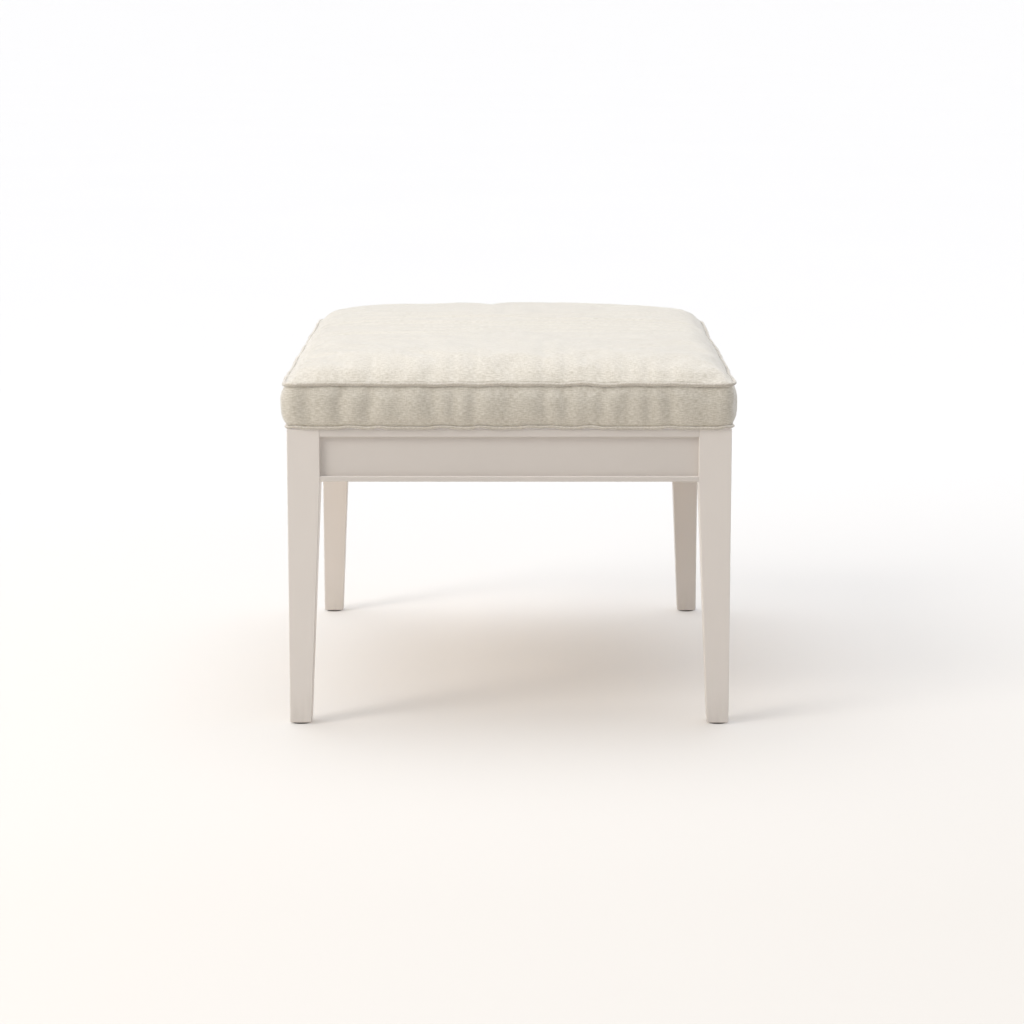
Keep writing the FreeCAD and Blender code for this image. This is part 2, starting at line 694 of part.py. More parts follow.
def write_frame():
    """The fixed frame with its fasteners."""
    block_drills = at_block_screws(screw_drill(BLOCK_SCREW_LENGTH))
    cleat_drills = at_cleat_screws(screw_drill(SCREW_LENGTH))
    deck_drills = at_deck_screws(screw_drill(SCREW_LENGTH))
    bolt_drills = at_corners(bolt_drill())
    for corner, name in enumerate(CORNERS):
        write("leg_" + name, drilled(at_corner(leg().cut(nail_drill()), corner), bolt_drills))
        write("glide_" + name, at_corner(glide(), corner))
        write("corner_block_" + name, drilled(at_corner(corner_block(), corner), bolt_drills + block_drills))
    for side, name in enumerate(SIDES):
        write("apron_" + name, drilled(at_side(apron(side), side), block_drills + cleat_drills))
        write("top_bead_" + name, at_side(top_bead(side), side))
        write("bottom_bead_" + name, at_side(bottom_bead(side), side))
    names = ("front", "right_front", "right_rear", "rear", "left_rear", "left_front")
    for name, (side, start, end) in zip(names, cleat_runs()):
        write("cleat_" + name, drilled(at_side(cleat(start, end), side), cleat_drills + deck_drills))
    write("centre_rail", drilled(centre_rail(), deck_drills))
    write("seat_deck", drilled(seat_deck(), deck_drills))
    write("glide_nails", at_corners(glide_nail()))
    write("hanger_bolts", at_corners(hanger_bolt()))
    write("bolt_washers", at_corners(washer()))
    write("hex_nuts", at_corners(hex_nut()))
    write("corner_block_screws", at_block_screws(screw(BLOCK_SCREW_LENGTH)))
    write("cleat_screws", at_cleat_screws(screw(SCREW_LENGTH)))
    write("deck_screws", at_deck_screws(screw(SCREW_LENGTH)))


def write_cushion():
    """The loose cushion, its filling and its zip."""
    write("foam_core", foam_core())
    write("fibre_pad_top", fibre_pad_top())
    write("fibre_pad_bottom", fibre_pad_bottom())
    write("cover_top", cover_top())
    write("cover_bottom", cover_bottom())
    write("boxing_band", boxing_band())
    for name, height in (("top", TOP_SEAM), ("bottom", BOTTOM_SEAM)):
        write(name + "_welt", welt(height))
        write(name + "_welt_cord", ring_tube(WELT_CORD_RADIUS, height))
    for name, shape in (("zip_band", zip_band_upper()), ("zip_tape", zip_tape_upper()),
                        ("zip_chain", zip_chain_upper())):
        write(name + "_upper", shape)
        write(name + "_lower", mirrored(shape))
    write("zip_stops", zip_stops())
    write("zip_slider", zip_slider())
    write("zip_pull", zip_pull())


os.makedirs("parts", exist_ok=True)
write_frame()
write_cushion()
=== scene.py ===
# %% [markdown]
# # A piano bench with a loose box cushion
# A painted frame on four tapered legs, with a linen box cushion lying on it. The frame comes
# ready made from the design model. What the design leaves plain is made here: the stuffed
# cushion, its piping and zip, and a finish for every piece. Lengths are in metres, and MM
# turns millimetres into metres.

import math

import bmesh
import bpy
import numpy as np
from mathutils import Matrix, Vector


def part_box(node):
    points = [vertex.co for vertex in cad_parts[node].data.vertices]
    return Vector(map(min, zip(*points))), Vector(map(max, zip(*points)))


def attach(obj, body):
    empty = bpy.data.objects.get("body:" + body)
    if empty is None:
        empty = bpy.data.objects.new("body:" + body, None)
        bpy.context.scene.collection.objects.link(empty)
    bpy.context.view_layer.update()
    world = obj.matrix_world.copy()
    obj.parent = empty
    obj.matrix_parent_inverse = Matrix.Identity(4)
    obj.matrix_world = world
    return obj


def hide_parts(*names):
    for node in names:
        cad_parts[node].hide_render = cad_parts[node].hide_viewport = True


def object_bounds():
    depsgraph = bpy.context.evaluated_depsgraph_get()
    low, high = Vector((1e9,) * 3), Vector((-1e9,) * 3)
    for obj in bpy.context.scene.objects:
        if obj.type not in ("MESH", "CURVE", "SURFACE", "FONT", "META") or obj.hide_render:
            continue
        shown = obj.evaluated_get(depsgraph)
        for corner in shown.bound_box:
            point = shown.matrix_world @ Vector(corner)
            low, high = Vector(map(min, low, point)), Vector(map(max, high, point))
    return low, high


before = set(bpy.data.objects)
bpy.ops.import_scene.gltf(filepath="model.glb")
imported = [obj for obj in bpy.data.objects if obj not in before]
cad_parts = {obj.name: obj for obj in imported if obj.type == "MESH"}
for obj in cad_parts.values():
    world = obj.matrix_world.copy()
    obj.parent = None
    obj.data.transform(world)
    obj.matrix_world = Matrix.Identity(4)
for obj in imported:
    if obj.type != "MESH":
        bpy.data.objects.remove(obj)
cad_low, cad_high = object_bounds()

MM = 0.001
CUSHION_BODY = "cushion"
print("design box", [round(v, 4) for v in cad_low], [round(v, 4) for v in cad_high])

# %% [markdown]
# ## The camera
# The bench is seen straight at its short end, from standing height and four metres off,
# through a long lens, which keeps the upright lines nearly parallel. No shift is used.

# %% Camera
CAMERA_PLACE = (0.00767, -4.23902, 0.93808)
CAMERA_PITCH_DOWN = 9.675
CAMERA_YAW = 0.061
LENS = 107.09


def placed(name, data, place=(0, 0, 0), turn=(0, 0, 0)):
    """Puts a new object in the scene."""
    made = bpy.data.objects.new(name, data)
    made.location = place
    made.rotation_euler = turn
    bpy.context.scene.collection.objects.link(made)
    return made


lens = bpy.data.cameras.new("studio_camera")
lens.lens = LENS
lens.sensor_width = 36.0
lens.clip_start = 0.1
lens.clip_end = 2000.0
bpy.context.scene.camera = placed("studio_camera", lens, CAMERA_PLACE,
                                  (math.radians(90 - CAMERA_PITCH_DOWN), 0, math.radians(CAMERA_YAW)))

# %% [markdown]
# ## Floor and light
# A white sweep, soft lamps and a bright room that fills the shadows. The far lamps are
# suns with a wide angle. The key stands on the left and a little in front, so the legs'
# shadows start sharp and blur as they run back to the right. The wide ones light the top
# of the cushion, and the last casts no shadow, as a stand-in for a white ceiling. A near
# softbox makes the light fall off to the right, and the camera sees a brighter world than
# the bench does.

# %% Floor and light
FLOOR_REACH = 900.0
# Name, side it comes from in degrees from -X towards -Y, height, spread, strength, colour
# and whether it casts shadows.
LAMPS = (
    ("key", 37.0, 40.0, 20.0, 0.6, (1.0, 0.965, 0.92), True),
    ("overhead", -35.0, 58.0, 60.0, 0.65, (1.0, 0.99, 0.98), True),
    ("skylight", -90.0, 78.0, 80.0, 0.25, (0.98, 0.99, 1.0), True),
    ("ceiling", -90.0, 73.0, 60.0, 2.35, (0.96, 0.98, 1.04), False),
)
SOFTBOX_PLACE = (-2.4, -1.6, 1.6)
SOFTBOX_SIZE = 1.0
SOFTBOX_POWER = 24.0
SOFTBOX_COLOUR = (1.0, 0.97, 0.93)
SOFTBOX_AIM = (0.0, -0.2, 0.3)
FILL_STRENGTH = 0.47
FILL_COLOUR = (0.95, 0.985, 1.04)


def srgb(code):
    """Linear colour of a web colour such as D5CEC9."""
    values = np.array([int(code[i:i + 2], 16) / 255 for i in (0, 2, 4)])
    linear = np.where(values <= 0.04045, values / 12.92, ((values + 0.055) / 1.055) ** 2.4)
    return (*linear.tolist(), 1.0)


def lamp(name, kind, energy, colour, place, turn):
    light = bpy.data.lights.new(name, kind)
    light.energy = energy
    light.color = colour
    placed(name, light, place, turn)
    return light


def light_the_room():
    """The softbox's -Z looks at its aim, and each sun's at the bench."""
    aim = Vector(SOFTBOX_AIM) - Vector(SOFTBOX_PLACE)
    softbox = lamp("softbox", "AREA", SOFTBOX_POWER, SOFTBOX_COLOUR, SOFTBOX_PLACE,
                   aim.to_track_quat("-Z", "Y").to_euler())
    softbox.size = SOFTBOX_SIZE
    for name, side, height, spread, strength, colour, shadows in LAMPS:
        sun = lamp(name, "SUN", strength, colour, (0, 0, 0),
                   (math.radians(90 - height), 0, math.radians(side - 90)))
        sun.angle = math.radians(spread)
        sun.use_shadow = shadows
    world = bpy.data.worlds.new("white_room")
    world.use_nodes = True
    tree = world.node_tree
    fill = tree.nodes["Background"]
    fill.inputs["Color"].default_value = (*FILL_COLOUR, 1.0)
    fill.inputs["Strength"].default_value = FILL_STRENGTH
    backdrop = tree.nodes.new("ShaderNodeBackground")
    backdrop.inputs["Color"].default_value = (1.0, 1.0, 1.0, 1.0)
    seen = tree.nodes.new("ShaderNodeLightPath")
    choice = tree.nodes.new("ShaderNodeMixShader")
    tree.links.new(seen.outputs["Is Camera Ray"], choice.inputs[0])
    tree.links.new(fill.outputs[0], choice.inputs[1])
    tree.links.new(backdrop.outputs[0], choice.inputs[2])
    tree.links.new(choice.outputs[0], tree.nodes["World Output"].inputs["Surface"])
    bpy.context.scene.world = world
    bpy.context.scene.view_settings.view_transform = "Standard"


light_the_room()

# %% [markdown]
# ## Surfaces as arrays
# Every new piece is a grid of points worked out with numpy, with a face between each four
# neighbours. Closed in one direction a grid is a tube, and in both a ring.

# %% Mesh helpers
def grid_faces(rows, cols, close_rows=False, close_cols=False):
    """Faces of a rows x cols grid of points, whose number is row * cols + col. The four
    corners of a face are (r, c), (r, c + 1), (r + 1, c + 1), (r + 1, c)."""
    row_a = np.arange(rows if close_rows else rows - 1)
    col_a = np.arange(cols if close_cols else cols - 1)
    r, c = np.meshgrid(row_a, col_a, indexing="ij")
    next_r = (r + 1) % rows
    next_c = (c + 1) % cols
    faces = np.stack([r * cols + c, r * cols + next_c, next_r * cols + next_c, next_r * cols + c], -1)
    return faces.reshape(-1, 4)


def new_piece(name, points, faces, uv=None):
    """Smooth-shaded object from points (n, 3) and faces (m, 4). uv, one for each point, is
    in metres of cloth."""
    points = np.asarray(points, float).reshape(-1, 3)
    mesh = bpy.data.meshes.new(name)
    mesh.vertices.add(len(points))
    mesh.vertices.foreach_set("co", points.ravel())
    mesh.loops.add(faces.size)
    mesh.loops.foreach_set("vertex_index", faces.ravel().astype(np.int32))
    mesh.polygons.add(len(faces))
    mesh.polygons.foreach_set("loop_start", np.arange(len(faces), dtype=np.int32) * 4)
    mesh.polygons.foreach_set("use_smooth", np.ones(len(faces), bool))
    mesh.update(calc_edges=True)
    if uv is not None:
        layer = mesh.uv_layers.new(name="cloth")
        layer.data.foreach_set("uv", np.asarray(uv, float).reshape(-1, 2)[faces.ravel()].ravel())
    return placed(name, mesh)


def smoother(piece, levels=1):
    """Rounds a piece with a live Subdivision Surface."""
    rounding = piece.modifiers.new("rounded", "SUBSURF")
    rounding.levels = levels
    rounding.render_levels = levels
    return piece


def thicker(piece, thickness):
    """Gives a sheet its thickness, inwards from the side its faces point to."""
    wall = piece.modifiers.new("wall", "SOLIDIFY")
    wall.thickness = thickness
    wall.offset = -1.0
    return piece


def close_poles(piece):
    """Merges points that lie on each other, so that a ring drawn in to a point is a pole."""
    net = bmesh.new()
    net.from_mesh(piece.data)
    bmesh.ops.remove_doubles(net, verts=net.verts, dist=0.001 * MM)
    net.to_mesh(piece.data)
    net.free()
    return piece


def volume_of(piece):
    """Volume in cubic centimetres of a closed piece: positive if its faces look outwards."""
    net = bmesh.new()
    net.from_mesh(piece.data)
    gaps = sum(edge.is_boundary for edge in net.edges)
    volume = net.calc_volume(signed=True) / (10 * MM) ** 3
    net.free()
    print(f"{piece.name}: {volume:.2f} cm3, {gaps} open edges")
    return piece


def span(node):
    """Lowest and highest corner of a node as arrays."""
    low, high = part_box(node)
    return np.array(low), np.array(high)


# %% Floor
plan = np.array([(-1, -1, 0), (1, -1, 0), (1, 1, 0), (-1, 1, 0)]) * FLOOR_REACH
floor = new_piece("studio_floor", plan, np.array([[0, 1, 2, 3]]))

# %% [markdown]
# ## The seam that the cushion hangs on
# Both seams follow one rounded rectangle, so everything is placed by how far it lies along
# that ring: a path of corner centres plus a radius that turns through the corners. Both
# are straight-line functions of the distance, so the ring is a formula and not a list.

# %% The seam ring
welt_low, welt_high = span("top_welt")
WELT_RADIUS = (welt_high[2] - welt_low[2]) / 2
SEAM_X = welt_high[0] - WELT_RADIUS
SEAM_Y = welt_high[1] - WELT_RADIUS
SEAM_CORNER = 14 * MM
TOP_SEAM = (welt_high[2] + welt_low[2]) / 2
BOTTOM_SEAM = sum(span("bottom_welt"))[2] / 2
CLOTH = 1.2 * MM
FLAT_X = SEAM_X - SEAM_CORNER
FLAT_Y = SEAM_Y - SEAM_CORNER
QUARTER = SEAM_CORNER * math.pi / 2
RING_STEPS = (FLAT_X, QUARTER, 2 * FLAT_Y, QUARTER, 2 * FLAT_X, QUARTER, 2 * FLAT_Y, QUARTER, FLAT_X)
RING_KNOTS = np.concatenate([[0], np.cumsum(RING_STEPS)])
RING_LENGTH = RING_KNOTS[-1]


def seam_ring(s):
    """Points and outward directions, each (n, 2), at distance s along the seam. It starts
    at the middle of the rear and runs anticlockwise: first to the rear left corner, then
    along the left side, the front and the right side. Point = corner centre + radius *
    (cos turn, sin turn), where centre and turn change in straight lines with s."""
    s = np.mod(s, RING_LENGTH)
    x = np.interp(s, RING_KNOTS, np.array([0, -1, -1, -1, -1, 1, 1, 1, 1, 0]) * FLAT_X)
    y = np.interp(s, RING_KNOTS, np.array([1, 1, 1, -1, -1, -1, -1, 1, 1, 1]) * FLAT_Y)
    turn = np.radians(np.interp(s, RING_KNOTS, (90, 90, 180, 180, 270, 270, 360, 360, 450, 450)))
    out = np.stack([np.cos(turn), np.sin(turn)], -1)
    return np.stack([x, y], -1) + SEAM_CORNER * out, out


FRONT_MIDDLE = RING_LENGTH / 2
print(f"seam {RING_LENGTH:.3f} m round, {TOP_SEAM - BOTTOM_SEAM:.4f} m between the two seams")

# %% [markdown]
# ## Puckers and waves
# Cloth eased onto a shorter piping gathers into soft folds across the band. On the front
# they are listed one by one, and on the other sides placed by a seeded generator. The piping
# wanders a little, and the lower one lifts off the frame here and there.

# %% Puckers and waves
SEED = 11
# How far from the middle of the front, how wide and how deep each fold is, in millimetres.
FRONT_FOLDS = ((-258, 13, 2.4), (-215, 9, 2.8), (-178, 9, 2.8), (-140, 14, 1.3), (-98, 11, 2.2),
               (-71, 7, 1.8), (-45, 7, 2.0), (0, 16, 1.6), (45, 8, 2.0), (73, 9, 2.2), (99, 8, 1.2),
               (119, 8, 2.0), (152, 12, 2.2), (179, 8, 2.2), (205, 8, 2.4), (254, 20, 1.4))
# Where the lower piping lifts off the frame at the front: middle and half width.
FRONT_LIFTS = ((-275, 7), (-203, 12), (-167, 7), (-85, 12), (-36, 9), (28, 11), (52, 11), (103, 11),
               (204, 8), (277, 6))

dice = np.random.default_rng(SEED)


def along(s, middle):
    """Signed distance round the ring from one place to another."""
    return np.mod(s - middle + RING_LENGTH / 2, RING_LENGTH) - RING_LENGTH / 2


def scattered(low, high):
    """Uneven places round the ring, between low and high apart, that leave the front free."""
    places = np.cumsum(dice.uniform(low, high, int(RING_LENGTH / low)))
    places = places[places < RING_LENGTH - high / 2]
    return places[np.abs(along(places, FRONT_MIDDLE)) > SEAM_X]


front = np.array(FRONT_FOLDS) * MM
others = scattered(0.022, 0.05)
FOLD_AT = np.concatenate([FRONT_MIDDLE + front[:, 0], others])
FOLD_WIDTH = np.concatenate([front[:, 1], dice.uniform(0.006, 0.014, len(others))])
FOLD_DEPTH = np.concatenate([front[:, 2], dice.uniform(0.0010, 0.0026, len(others))])
lift = np.array(FRONT_LIFTS) * MM
lifted = scattered(0.05, 0.11)
LIFT_AT = np.concatenate([FRONT_MIDDLE + lift[:, 0], lifted])
LIFT_WIDTH = np.concatenate([lift[:, 1], dice.uniform(0.008, 0.016, len(lifted))])
LIFT_HEIGHT = 1.5 * MM


def folds(s):
    """Depth of the gathers at s: a sum of bell curves, one for each fold."""
    apart = along(np.asarray(s)[..., None], FOLD_AT)
    return (FOLD_DEPTH * np.exp(-(apart / FOLD_WIDTH) ** 2)).sum(-1)


def waves(count, shortest, longest):
    """A wandering line round the ring: sines with whole numbers of cycles, so that it
    closes, the longer ones larger. Returns a function of s with a height of about 1."""
    cycles = np.round(RING_LENGTH / dice.uniform(shortest, longest, count))
    phase = dice.uniform(0, 2 * math.pi, count)
    size = 1 / np.sqrt(cycles)
    size = size / np.sqrt((size ** 2).sum() / 2)

    def line(s):
        angle = 2 * math.pi * cycles * np.asarray(s)[..., None] / RING_LENGTH + phase
        return (size * np.sin(angle)).sum(-1)

    return line


top_rise = waves(8, 0.05, 0.2)
top_sway = waves(6, 0.12, 0.5)
bottom_sway = waves(6, 0.12, 0.5)
TOP_RISE, TOP_SWAY, BOTTOM_SWAY = 0.6 * MM, 0.85 * MM, 0.5 * MM
TOP_FLARE = 2.0 * MM


def top_out(s):
    """How far the upper seam is pushed out by the filling: a flare that wanders."""
    return TOP_FLARE + TOP_SWAY * top_sway(s)


def bottom_lift(s):
    """How far the lower piping stands off the frame: rounded steps at each lift."""
    apart = np.abs(along(np.asarray(s)[..., None], LIFT_AT)) / LIFT_WIDTH
    return LIFT_HEIGHT * np.clip(np.exp(-apart ** 4).sum(-1), 0, 1)


print(len(FOLD_AT), "folds,", len(LIFT_AT), "lifts")

# %% [markdown]
# ## The shape of the cover before it is stuffed
# The top panel starts as an even grid raised into a crown, and the side band as a strip
# that bulges between the seams, since cloth simulation needs even squares. Folds cross the
# band and fade out on the top. Both start a little small, as the stuffing swells them.

# %% Top panel and side band as grids
CAP = 6 * MM
ROOM_FOR_CAP = 0.85
PANEL_INSET = 1.6 * MM
PANEL_EDGE = 1.4 * MM
PANEL_CELLS = (96, 128)
CROWN = cad_high[2] - TOP_SEAM
# Share of the rise that is the steep shoulder, its length, and the length of the rest.
CROWN_ACROSS = (0.72, 0.011, 0.080)
CROWN_ALONG = (0.50, 0.011, 0.070)
CROWN_LIP = 0.004
FOLD_FADE, FOLD_START = 0.065, 8 * MM
NEAR_SEAM = 14 * MM
BAND_INSET = 2.6 * MM
BOTTOM_FLARE = 1.5 * MM
BAND_SEAM_DROP = (1.7 * MM, 1.1 * MM)
BAND_BULGE, BULGE_POWER = 7.4 * MM, 3.4
RIB_HEIGHT, RIB_SHARE = 0.7 * MM, 0.4
BAND_BOW = 4.0 * MM
BAND_FOLD_SHARE = 1.9
TOP_FOLD_SHARE = 1.2
BAND_COLUMNS = 360
STRIP_ROWS = 5
(_, _, above), (ZIP_HALF, zip_face, _) = span("zip_band_upper")
below = span("zip_band_lower")[1][2]
OPENING_HALF = (above - below) / 2
ZIP_HEIGHT = (above + below) / 2
ZIP_SET_IN = SEAM_Y - zip_face
# The band stays flat a little past the zip, where the pull rests, then eases out.
ZIP_HOLD = 18 * MM
ZIP_EASE = 20 * MM


def panel_grid(inset, cells):
    """Even grid of (x, y) over the seam's rounded rectangle, so far inside it. In a corner
    square the point (a, b) from the corner's centre is drawn in to (a, b) * max(a, b) /
    length(a, b), which bends the square's outer edge to a quarter circle."""
    half_x, half_y, corner = SEAM_X - inset, SEAM_Y - inset, max(SEAM_CORNER - inset, SEAM_CORNER / 2)
    x, y = np.meshgrid(np.linspace(-half_x, half_x, cells[0] + 1), np.linspace(-half_y, half_y, cells[1] + 1))
    a = np.maximum(np.abs(x) - half_x + corner, 0)
    b = np.maximum(np.abs(y) - half_y + corner, 0)
    length = np.hypot(a, b)
    draw = np.divide(np.maximum(a, b), length, out=np.ones_like(length), where=length > 0)
    x = np.sign(x) * (np.abs(x) - a * (1 - draw))
    y = np.sign(y) * (np.abs(y) - b * (1 - draw))
    return x, y


def nearest_on_seam(x, y):
    """For each point, the distance to the seam and the place on it that is nearest."""
    s = np.linspace(0, RING_LENGTH, 700, endpoint=False)
    ring, _ = seam_ring(s)
    gap = np.hypot(x.ravel()[:, None] - ring[:, 0], y.ravel()[:, None] - ring[:, 1])
    nearest = gap.argmin(1)
    return gap.min(1).reshape(x.shape), s[nearest].reshape(x.shape)


def rise(distance, profile):
    """Crown profile, 0 at the seam and near 1 far from it: a steep shoulder and a slow
    swell, 1 - share * exp(-d / short) - (1 - share) * exp(-d / long)."""
    share, short, long = profile
    return 1 - share * np.exp(-distance / short) - (1 - share) * np.exp(-distance / long)


def top_surface():
    """Crown = height * rise(across) * rise(along), less the folds, which fade inwards. The
    lip brings the rounded corners down to the seam: 1 - exp(-gap / lip)."""
    x, y = panel_grid(PANEL_INSET, PANEL_CELLS)
    gap, s = nearest_on_seam(x, y)
    gap = np.maximum(gap - PANEL_INSET, 0)
    across = rise(SEAM_X - PANEL_INSET - np.abs(x), CROWN_ACROSS)
    lengthways = rise(SEAM_Y - PANEL_INSET - np.abs(y), CROWN_ALONG)
    swell = across * lengthways * (1 - np.exp(-gap / CROWN_LIP))
    z = TOP_SEAM + PANEL_EDGE + (CROWN - PANEL_EDGE - ROOM_FOR_CAP * CAP) * swell / swell.max()
    close = np.exp(-gap / FOLD_FADE) * (1 - np.exp(-gap / FOLD_START))
    z = z - TOP_FOLD_SHARE * folds(s) * close
    near = np.exp(-gap / NEAR_SEAM)
    _, out = seam_ring(s)
    z = z + TOP_RISE * top_rise(s) * near
    sway = top_out(s) * near * (1 - rear_share(s))
    return np.stack([x + sway * out[..., 0], y + sway * out[..., 1], z], -1)


def band_levels():
    """Heights of the band's rows, top first, with two rows on the edges of the zip."""
    top, bottom = TOP_SEAM - BAND_SEAM_DROP[0], BOTTOM_SEAM + BAND_SEAM_DROP[1]
    upper = np.linspace(top, ZIP_HEIGHT + OPENING_HALF, STRIP_ROWS)
    lower = np.linspace(ZIP_HEIGHT - OPENING_HALF, bottom, STRIP_ROWS)
    return np.concatenate([upper, [ZIP_HEIGHT], lower])


def rear_share(s):
    """1 along the zip, 0 on the sides and front, with an eased change past its ends."""
    past = np.clip((np.abs(along(s, 0)) - ZIP_HALF - ZIP_HOLD) / ZIP_EASE, 0, 1)
    return 1 - past * past * (3 - 2 * past)


def band_surface(s, levels):
    """Band at distances s and heights: offset = bulge * (1 - |2v - 1| ** power) - folds on
    the sides, with a bow of (1 - t * t) along each side, and a low rib each side of the
    zip on the rear. v is 0 at the top seam and t is 0 at the middle of a side."""
    s, z = np.meshgrid(s, levels)
    v = (levels[0] - z) / (levels[0] - levels[-1])
    side = BAND_BULGE * (1 - np.abs(2 * v - 1) ** BULGE_POWER)
    lean = s + 0.006 * (v - 0.5) * np.sin(s * 40)
    crossing = np.sin(math.pi * np.clip(v, 0, 1))
    side = side - BAND_FOLD_SHARE * folds(lean) * crossing ** 0.45
    in_rib = np.clip(np.minimum(v, 1 - v) / RIB_SHARE, 0, 1)
    rear = RIB_HEIGHT * np.sin(math.pi * in_rib) + (BAND_INSET - ZIP_SET_IN) * in_rib
    share = rear_share(s)
    sway = top_out(s) * (1 - v) + (BOTTOM_FLARE + BOTTOM_SWAY * bottom_sway(s)) * v
    offset = -BAND_INSET + side * (1 - share) + rear * share + sway * (1 - share)
    level = TOP_RISE * top_rise(s) * (1 - v) ** 2 + bottom_lift(s) * v ** 2
    z = z + level * (1 - share * (v > 0.35) * (v < 0.65))
    ring, out = seam_ring(s.ravel())
    from_middle = np.min(np.abs(ring) / (SEAM_X, SEAM_Y), axis=1).reshape(s.shape)
    offset = offset + BAND_BOW * (1 - from_middle ** 2) * crossing * (1 - share)
    xy = ring + out * offset.ravel()[:, None]
    return np.stack([xy[:, 0].reshape(s.shape), xy[:, 1].reshape(s.shape), z], -1)


levels = band_levels()
side_s = np.linspace(ZIP_HALF, RING_LENGTH - ZIP_HALF, BAND_COLUMNS + 1)
top_start = top_surface()
band_start = band_surface(side_s, levels)
print("top panel", top_start.shape, "side band", band_start.shape)

# %% [markdown]
# ## Stuffing it
# The cloth is cut a little larger than its seams and the filling presses it out: rest
# lengths a few parts in a thousand longer, and a pressure from inside. The seam rows are
# pinned, as the piping holds them, and gravity is off, since the filling carries the
# cloth. How far a point may move is capped, which keeps the size that the design gives.

# %% Simulate the stuffed cover
FRAMES = 12
PRESSURE = 0.3
GROWTH = 0.008


def stuffed(start, faces, pinned):
    """Runs the cloth and returns its points, none moved by more than the cap."""
    piece = new_piece("cover_in_the_press", start, faces)
    group = piece.vertex_groups.new(name="sewn")
    group.add(pinned.tolist(), 1.0, "REPLACE")
    cloth = piece.modifiers.new("stuffing", "CLOTH")
    rules = cloth.settings
    rules.quality = 5
    rules.mass = 0.3
    rules.tension_stiffness = 15
    rules.compression_stiffness = 15
    rules.shear_stiffness = 5
    rules.bending_stiffness = 0.5
    rules.use_pressure = True
    rules.uniform_pressure_force = PRESSURE
    rules.vertex_group_mass = group.name
    rules.shrink_min = -GROWTH
    rules.effector_weights.gravity = 0
    cloth.collision_settings.use_collision = False
    cloth.point_cache.frame_start = 1
    cloth.point_cache.frame_end = FRAMES
    for number in range(1, FRAMES + 1):
        bpy.context.scene.frame_set(number)
    done = piece.evaluated_get(bpy.context.evaluated_depsgraph_get()).data
    end = np.empty(len(start) * 3)
    done.vertices.foreach_get("co", end)
    bpy.context.scene.frame_set(1)
    mesh = piece.data
    bpy.data.objects.remove(piece)
    bpy.data.meshes.remove(mesh)
    move = end.reshape(-1, 3) - start
    size = np.linalg.norm(move, axis=1)
    over = (size > CAP).mean()
    print(f"cloth moved {size.mean() / MM:.2f} mm on average, {over:.0%} of it reached the cap")
    return start + move * np.minimum(1, CAP / np.maximum(size, 1e-9))[:, None]


def stuff_the_cover():
    """Puts both sheets in one press and hands back their two grids."""
    top_count = top_start.shape[0] * top_start.shape[1]
    numbers = np.arange(top_count).reshape(top_start.shape[:2])
    rim = np.concatenate([numbers[0], numbers[-1], numbers[:, 0], numbers[:, -1]])
    band_count = band_start.shape[0] * band_start.shape[1]
    band_numbers = top_count + np.arange(band_count).reshape(band_start.shape[:2])
    held = np.abs(along(side_s, 0)) < ZIP_HALF + ZIP_HOLD
    sewn = np.concatenate([band_numbers[0], band_numbers[-1], band_numbers[:, held].ravel()])
    start = np.concatenate([top_start.reshape(-1, 3), band_start.reshape(-1, 3)])
    faces = np.concatenate([grid_faces(*top_start.shape[:2]),
                            top_count + grid_faces(*band_start.shape[:2])[:, ::-1]])
    end = stuffed(start, faces, np.unique(np.concatenate([rim, sewn])))
    return end[:top_count].reshape(top_start.shape), end[top_count:].reshape(band_start.shape)


top_points, band_points = stuff_the_cover()
print("crown at", round(float(top_points[..., 2].max()), 4))

# %% [markdown]
# ## Cutting the cover's pieces
# The stuffed grids become cloth with its real thickness. The bottom panel lies flat and
# turns up to its seam. The strips beside the zip keep the band's formula, because the zip
# holds them straight. A UV map in metres carries the weave directions.

# %% Cover pieces
BOTTOM_TURN_UP = 0.022
ZIP_COLUMNS = 80


def sheet_of_cloth(name, grid, u, v, flipped=False):
    faces = grid_faces(*grid.shape[:2])
    piece = new_piece(name, grid, faces[:, ::-1] if flipped else faces, np.stack([u, v], -1))
    return thicker(smoother(piece), CLOTH)


def cover_pieces():
    top = sheet_of_cloth("top_panel", top_points, top_start[..., 0], top_start[..., 1])
    s, z = np.meshgrid(side_s, levels)
    band = sheet_of_cloth("side_band", band_points, s, z, flipped=True)
    x, y = panel_grid(PANEL_INSET, (48, 64))
    gap, place = nearest_on_seam(x, y)
    low = span("cover_bottom")[0][2]
    turned = (BOTTOM_SEAM - 0.4 * MM + bottom_lift(place) - low) * np.exp(-(gap / BOTTOM_TURN_UP) ** 2)
    bottom = sheet_of_cloth("bottom_panel", np.stack([x, y, low + turned], -1), x, y, flipped=True)
    zip_s = np.linspace(-ZIP_HALF, ZIP_HALF, ZIP_COLUMNS + 1)
    strips = []
    for name, rows in (("zip_strip_upper", levels[:STRIP_ROWS]), ("zip_strip_lower", levels[-STRIP_ROWS:])):
        grid = band_surface(zip_s, levels)[np.isin(levels, rows)]
        s, z = np.meshgrid(zip_s, rows)
        strips.append(sheet_of_cloth(name, grid, s, z, flipped=True))
    return top, band, bottom, *strips


top_panel, side_band, bottom_panel, strip_upper, strip_lower = cover_pieces()

# %% [markdown]
# ## Piping
# Piping is a bias-cut strip folded round a cotton cord: a tube swept along the wandering
# seam. Its size varies a little, as the strip is pulled tighter in places, and the lower
# one is pressed flatter. The weave runs at 45 degrees to the cord inside.

# %% Piping and its cords
PIPING_STEPS = 560
PIPING_SIDES = 14
CORD_RADIUS = 1.6 * MM
PRESSED_FLAT = 0.76
PINCH = 0.035
pinch = waves(12, 0.012, 0.05)


